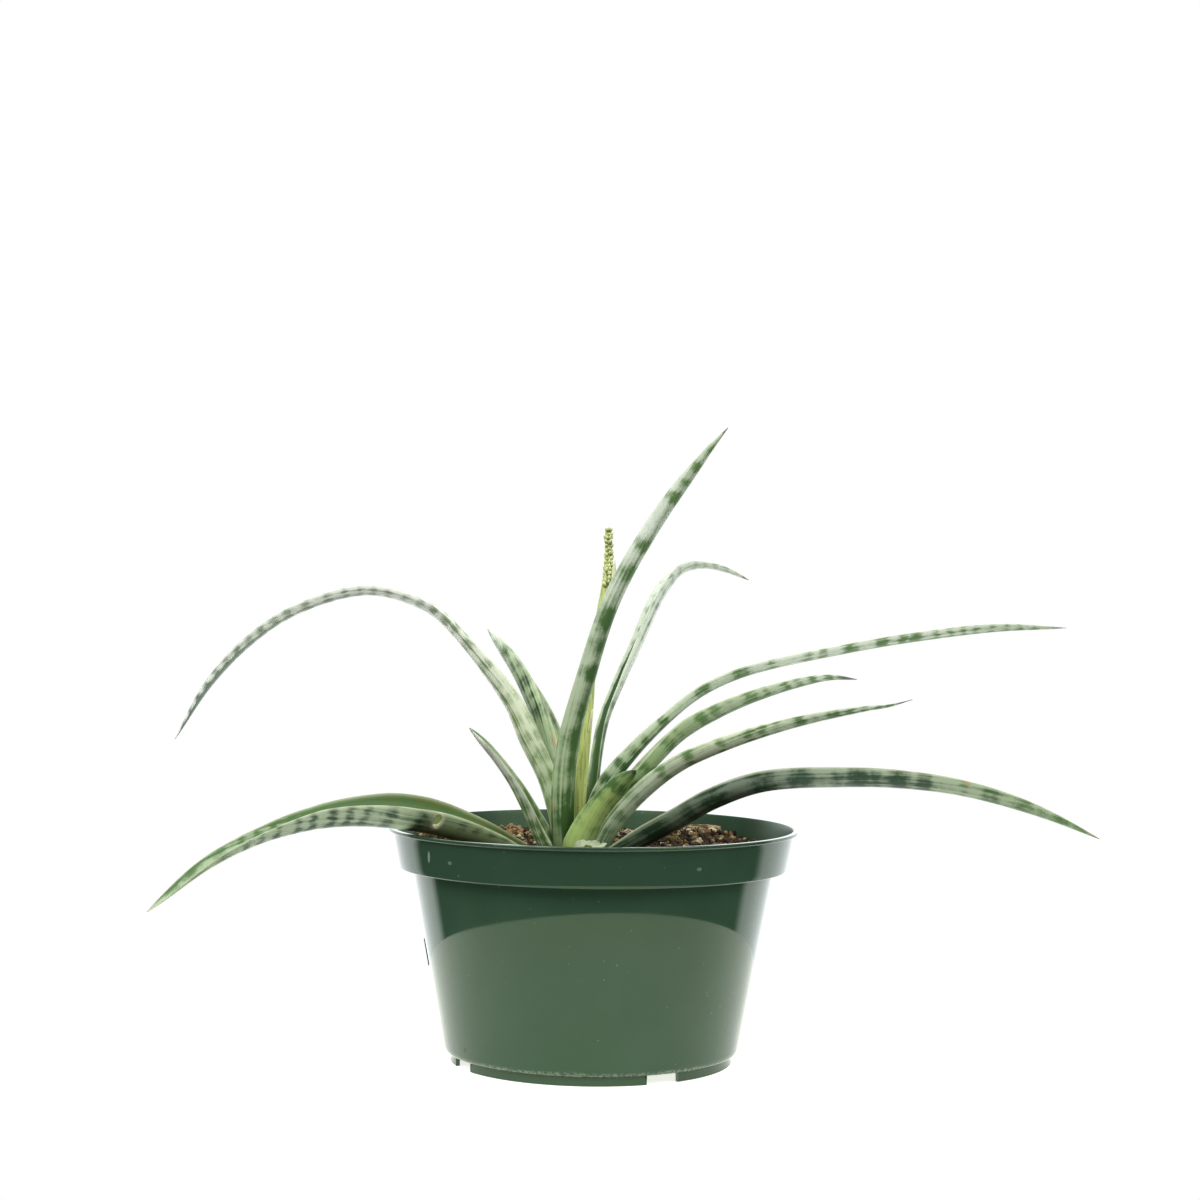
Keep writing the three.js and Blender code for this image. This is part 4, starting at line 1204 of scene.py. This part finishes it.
def make_chip(name, spec, seed):
    """One larger chip: a rounded box, |x|^4 + |y|^4 + |z|^4 = 1 stretched to its size, with worn planes."""
    rng = np.random.default_rng(seed)
    unit = ball(36, 20, 0.05)
    unit /= (np.abs(unit) ** 4).sum(axis=-1, keepdims=True) ** 0.25
    for normal in rng.normal(size=(5, 3)):
        normal /= np.linalg.norm(normal)
        depth = unit @ normal - 0.8
        unit = unit - np.maximum(depth, 0)[..., None] * normal
    waves = np.sin(unit @ rng.normal(size=3) * 7) * 0.04
    length, width, height = spec["size"]
    shape = unit * (1 + waves[..., None]) * np.array([length, width, height * 0.9]) / 2 * MM * 0.9
    shape = turned(shape, math.radians(spec["turn"]), math.radians(spec["tilt"]), 0.0)
    x, y = np.array(spec["at"]) * MM
    grid = shape + np.array([x, y, soil_height(x, y) + height * 0.3 * MM]) + POT_AXIS
    stand_in(name + "_piece", grid, wood_finish(name, spec["colour"]), "chip", name)


def make_pot(sizes):
    """The pot's shell in place of its faceted node."""
    grid, drain = pot_grid()
    stand_in("pot_shell", grid, pot_finish(sizes), "pot", "pot", {"drain": with_poles(drain)})


def make_label():
    """The sticker: a thin plate bent round the pot's wall, with eased edges."""
    across = np.radians(np.linspace(*LABEL["angles"], 24))[:, None]
    low, high = LABEL["heights"]
    thick = LABEL["thickness"]
    ring = rounded([(0, low), (thick, low), (thick, high), (0, high)], [0.08] * 4, 4)
    z = ring[None, :, 1]
    r = body_radius(z) + LABEL["gap"] + ring[None, :, 0]
    grid = np.stack([r * np.sin(across), -r * np.cos(across), z + 0 * across], axis=-1) * MM + POT_AXIS
    stand_in("label_plate", grid, label_finish(), "label", "blank_label")


def make_scale(name, spec):
    """One dry scale: a small channelled blade, crinkled by crossed sines that grow towards one margin."""
    grid, place, inner, u, v = blade(spec, row_step=0.35, half_columns=14)
    crinkle = np.sin(v * 2600 + place * 3) * np.cos(place * 5) * 0.00008
    crinkle = crinkle + (np.sin(v * 1300 + 1) + np.sin(v * 3170 + 2)) * place ** 3 * 0.00016
    grid = grid + crinkle[..., None] * np.array([0.2, 0.3, 1.0])
    places = {"blade": with_poles(np.stack([u, v, inner], axis=-1))}
    stand_in(name + "_paper", grid, dry_finish(name, *spec["colours"]), "dry", name, places)


def make_stalk():
    """The flower stalk: a round tube along its path, with its radii at even steps."""
    points, tangents, s, _ = spine(STALK["path"], 160)
    angle = np.linspace(0, 2 * np.pi, 24, endpoint=False)[None, :, None]
    radius = along(STALK["radii"], s)[:, None, None] * MM
    side = np.cross([0, 1, 0], tangents)
    side /= np.linalg.norm(side, axis=1)[:, None]
    up = np.cross(tangents, side)
    ring = np.cos(angle) * side[:, None] + np.sin(angle) * up[:, None]
    stand_in("stalk_stem", points[:, None] + radius * ring, stalk_finish(), "stalk", "flower_stalk")


def make_buds():
    """The spike's buds: ellipsoids in spiral whorls round the stalk's end, smaller towards the top.

    The top of each one leans out, and its turn, height, distance out and size vary a little.
    """
    points, _, s, _ = spine(STALK["path"], 200)
    rows, per_row = BUDS["rows"], BUDS["per_row"]
    count = rows * per_row
    rng = np.random.default_rng(11)
    share = np.repeat(np.linspace(0, 1, rows), per_row)
    place = np.repeat(np.linspace(BUDS["from"], 0.995, rows), per_row)
    turn = np.tile(np.arange(per_row), rows) * 2 * np.pi / per_row
    turn = turn + np.repeat(np.arange(rows), per_row) * 0.8 + rng.uniform(-0.35, 0.35, count)
    centre = np.stack([np.interp(place, s, points[:, axis]) for axis in range(3)], axis=1)
    centre[:, 0] += along(BUDS["shifts"], share) * MM
    centre[:, 2] += rng.uniform(-0.5, 0.5, count) * MM
    out = BUDS["out"] * (1.05 - 0.35 * share) * rng.uniform(0.8, 1.25, count) * MM
    outwards = np.stack([np.cos(turn), np.sin(turn), np.zeros(count)], axis=-1)
    unit, quads, fans = closed_grid(ball(10, 8, 0.12))
    size = np.array(BUDS["size"]) * MM
    scale = ((1.1 - 0.3 * share) * rng.uniform(0.7, 1.15, count))[:, None, None] * size
    shape = unit[None] * scale + unit[None, :, 2:] * outwards[:, None] * BUDS["lean"] * MM
    every = (shape + (centre + outwards * out[:, None])[:, None]).reshape(-1, 3)
    shift = len(unit) * np.arange(count)[:, None, None]
    faces = (quads[None] + shift).reshape(-1, 4).tolist() + (fans[None] + shift).reshape(-1, 3).tolist()
    height = np.tile(unit[:, 2:], (count, 3))
    obj = mesh_object("stalk_buds", every, faces, bud_finish(), {"bud": height})
    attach(obj, "root")


def dress_crown():
    """The crown's own node stays, with a finish of its own."""
    meshes = [obj for obj in bpy.data.objects if obj.type == "MESH"]
    crown = next(obj for obj in meshes if obj.name.split(".")[0] == "crown")
    crown.data.materials.clear()
    crown.data.materials.append(crown_finish())


def make_floor(sizes):
    """A round white floor that shines a little by itself, so that it stays plain behind soft shadows.

    It is a flat ring of three circles, whose tiny hole is hidden under the pot.
    """
    angle = np.linspace(0, 2 * np.pi, 128, endpoint=False)
    radius = np.array([sizes.floor_radius / MM, *FLOOR["circles"]])[:, None] * MM
    x, y = radius * np.cos(angle) * FLOOR["narrower"], radius * np.sin(angle)
    grid = np.stack([x, y, 0 * x], axis=-1) + POT_AXIS + np.array(FLOOR["offset"]) * MM
    points, quads, _ = closed_grid(grid)
    n = Finish("floor_white", roughness=0.9, specular_ior_level=0.0, base_color=(0.9, 0.9, 0.86, 1),
               emission_color=(1.0, 1.0, 0.92, 1), emission_strength=sizes.floor_glow)
    mesh_object("floor", points[:-2], quads, n.material)


def make_world(sizes):
    """The studio: plain white to the camera, and for light and gloss a white wall behind the plant, a
    soft ceiling and a dark room in front.

    The wall is where the cosine of the angle on the ground between a direction and the wall's middle is
    above that of its half angle. The ceiling comes in as the direction rises.
    """
    world = bpy.data.worlds.new("studio")
    bpy.context.scene.world = world
    world.use_nodes = True
    n = Tree(world.node_tree)
    x, y, z = n.parts(n.add("ShaderNodeTexCoord").outputs["Generated"])
    flat = n.math("SQRT", n.math("ADD", n.math("MULTIPLY", x, x), n.math("MULTIPLY", y, y)))
    turn = math.radians(sizes.wall_turn)
    right = n.math("MULTIPLY", x, math.sin(turn))
    behind = n.math("MULTIPLY", y, math.cos(turn))
    share = n.math("DIVIDE", n.math("ADD", right, behind), n.math("MAXIMUM", flat, 0.001))
    edge = math.cos(math.radians(sizes.wall_half))
    wall = n.step(share, edge - WALL_SOFT, edge + WALL_SOFT, sizes.wall_light)
    ceiling = n.step(z, *CEILING_RISE, sizes.ceiling_light)
    light = n.math("ADD", n.math("MAXIMUM", wall, ceiling), sizes.room_light)
    felt = n.fill(n.add("ShaderNodeBackground"), {"Color": (0.93, 0.98, 1.0, 1), "Strength": light})
    seen = n.fill(n.add("ShaderNodeBackground"), {"Color": (1, 1, 1, 1)})
    choose = n.add("ShaderNodeMixShader")
    n.put(choose.inputs["Fac"], n.add("ShaderNodeLightPath").outputs["Is Camera Ray"])
    n.put(choose.inputs[1], felt.outputs[0])
    n.put(choose.inputs[2], seen.outputs[0])
    n.put(n.add("ShaderNodeOutputWorld").inputs["Surface"], choose.outputs[0])


def make_light(name, place, size, power):
    """One soft square lamp that looks at the lamps' target."""
    data = bpy.data.lights.new(name, "AREA")
    data.size = size
    data.energy = power
    lamp = bpy.data.objects.new(name, data)
    lamp.location = place
    lamp.rotation_euler = (Vector(place) - Vector(LAMP_TARGET)).to_track_quat("Z", "Y").to_euler()
    bpy.context.scene.collection.objects.link(lamp)


def make_camera(sizes):
    """The camera: level, straight at the front, turned a little about its own line of sight."""
    data = bpy.data.cameras.new("camera")
    data.sensor_width = 36
    data.lens = sizes.lens
    camera = bpy.data.objects.new("camera", data)
    place = Vector((POT_AXIS[0] + CAMERA_RIGHT, -sizes.camera_distance, sizes.camera_height))
    level = Matrix.Rotation(math.pi / 2, 4, "X") @ Matrix.Rotation(CAMERA_ROLL, 4, "Z")
    camera.matrix_world = Matrix.Translation(place) @ level
    bpy.context.scene.collection.objects.link(camera)
    bpy.context.scene.camera = camera


class LeafSettings(bpy.types.PropertyGroup):
    """The leaves' finish."""

    roughness: bpy.props.FloatProperty(
        name="Skin roughness", description="How dull the waxy skin is",
        default=0.42, min=0, max=1, subtype="FACTOR")
    streaks: bpy.props.FloatProperty(
        name="Streaks", description="How strong the lengthwise lines are",
        default=0.5, min=0, max=1, subtype="FACTOR")
    margin_hex: bpy.props.StringProperty(
        name="Margin colour", description="Screen colour of the leaf margins", default="#ccd1ae")


class PotSettings(bpy.types.PropertyGroup):
    """The pot's finish."""

    plastic_hex: bpy.props.StringProperty(
        name="Plastic colour", description="Screen colour of the moulded plastic", default="#2a3f30")
    gloss: bpy.props.FloatProperty(
        name="Roughness", description="How dull the plastic is",
        default=0.035, min=0, max=1, subtype="FACTOR")


class SoilSettings(bpy.types.PropertyGroup):
    """The loose chips on the soil."""

    chips: bpy.props.IntProperty(
        name="Chips", description="How many small chips are strewn", default=4400, min=0)
    chip_size: bpy.props.FloatProperty(
        name="Chip size", description="The usual size of a small chip",
        default=0.0026, min=0, unit="LENGTH")


class StageSettings(bpy.types.PropertyGroup):
    """The camera, the floor and the light."""

    lens: bpy.props.FloatProperty(
        name="Lens", description="Focal length in millimetres", default=71.91, min=1)
    camera_distance: bpy.props.FloatProperty(
        name="Camera distance", description="From the pot's axis", default=0.9, unit="LENGTH")
    camera_height: bpy.props.FloatProperty(
        name="Camera height", description="Above the floor", default=0.1721, unit="LENGTH")
    floor_radius: bpy.props.FloatProperty(
        name="Floor radius", description="Of the round white floor", default=0.195, unit="LENGTH")
    floor_glow: bpy.props.FloatProperty(
        name="Floor glow", description="The floor's own light", default=0.8, min=0)
    wall_light: bpy.props.FloatProperty(
        name="Wall light", description="Of the wall behind", default=2.0, min=0)
    wall_half: bpy.props.FloatProperty(
        name="Wall half angle", description="In degrees", default=60.5)
    wall_turn: bpy.props.FloatProperty(
        name="Wall turn", description="In degrees to the right", default=4.5)
    ceiling_light: bpy.props.FloatProperty(
        name="Ceiling light", description="From above", default=0.9, min=0)
    room_light: bpy.props.FloatProperty(
        name="Room light", description="From the dark front", default=0.03, min=0)


class SNAKEPLANT_OT_stage(bpy.types.Operator):
    """Make the floor, the studio light and the camera"""

    bl_idname = "snake_plant.stage"
    bl_label = "Stage"

    def execute(self, context):
        sizes = context.scene.snake_plant_stage
        view = context.scene.view_settings
        view.view_transform = "Standard"
        view.look = "None"
        make_floor(sizes)
        make_world(sizes)
        for name, lamp in LAMPS.items():
            make_light(name, *lamp)
        make_camera(sizes)
        return {"FINISHED"}


class SNAKEPLANT_OT_pot(bpy.types.Operator):
    """Make the pot and its sticker"""

    bl_idname = "snake_plant.pot"
    bl_label = "Pot"

    def execute(self, context):
        make_pot(context.scene.snake_plant_pot)
        make_label()
        return {"FINISHED"}


class SNAKEPLANT_OT_soil(bpy.types.Operator):
    """Make the soil, its grit and its larger chips"""

    bl_idname = "snake_plant.soil"
    bl_label = "Soil and chips"

    def execute(self, context):
        make_soil()
        make_grit(context.scene.snake_plant_soil)
        for seed, (name, spec) in enumerate(CHIPS.items()):
            make_chip(name, spec, seed)
        return {"FINISHED"}


class SNAKEPLANT_OT_leaves(bpy.types.Operator):
    """Make the leaves and dress the crown"""

    bl_idname = "snake_plant.leaves"
    bl_label = "Leaves"

    def execute(self, context):
        sizes = context.scene.snake_plant_leaves
        for seed, (name, spec) in enumerate(LEAVES.items()):
            make_leaf(name, spec, 3.7 * seed, sizes)
        dress_crown()
        return {"FINISHED"}


class SNAKEPLANT_OT_stalk(bpy.types.Operator):
    """Make the flower stalk, its buds and the dry scales"""

    bl_idname = "snake_plant.stalk"
    bl_label = "Flower stalk and scales"

    def execute(self, context):
        make_stalk()
        make_buds()
        for name, spec in SCALES.items():
            make_scale(name, spec)
        return {"FINISHED"}


OPERATORS = (
    SNAKEPLANT_OT_stage,
    SNAKEPLANT_OT_pot,
    SNAKEPLANT_OT_soil,
    SNAKEPLANT_OT_leaves,
    SNAKEPLANT_OT_stalk,
)
SETTINGS = {
    "snake_plant_leaves": LeafSettings,
    "snake_plant_pot": PotSettings,
    "snake_plant_soil": SoilSettings,
    "snake_plant_stage": StageSettings,
}


class SNAKEPLANT_PT_panel(bpy.types.Panel):
    """The plant's settings and the buttons that make it"""

    bl_idname = "SNAKEPLANT_PT_panel"
    bl_label = "Potted snake plant"
    bl_space_type = "VIEW_3D"
    bl_region_type = "UI"
    bl_category = "Snake Plant"

    def draw(self, context):
        for name, group in SETTINGS.items():
            box = self.layout.box()
            for prop in group.__annotations__:
                box.prop(getattr(context.scene, name), prop)
        for operator in OPERATORS:
            self.layout.operator(operator.bl_idname)


def register():
    """Adds the settings, the operators and the panel."""
    for cls in (*SETTINGS.values(), *OPERATORS, SNAKEPLANT_PT_panel):
        bpy.utils.register_class(cls)
    for name, group in SETTINGS.items():
        setattr(bpy.types.Scene, name, bpy.props.PointerProperty(type=group))


def unregister():
    """Takes them away again."""
    for name in SETTINGS:
        delattr(bpy.types.Scene, name)
    for cls in (SNAKEPLANT_PT_panel, *reversed(OPERATORS), *reversed(SETTINGS.values())):
        bpy.utils.unregister_class(cls)


def main():
    """Makes everything in order."""
    register()
    bpy.ops.snake_plant.stage()
    bpy.ops.snake_plant.pot()
    bpy.ops.snake_plant.soil()
    bpy.ops.snake_plant.leaves()
    bpy.ops.snake_plant.stalk()


if __name__ == "__main__":
    main()
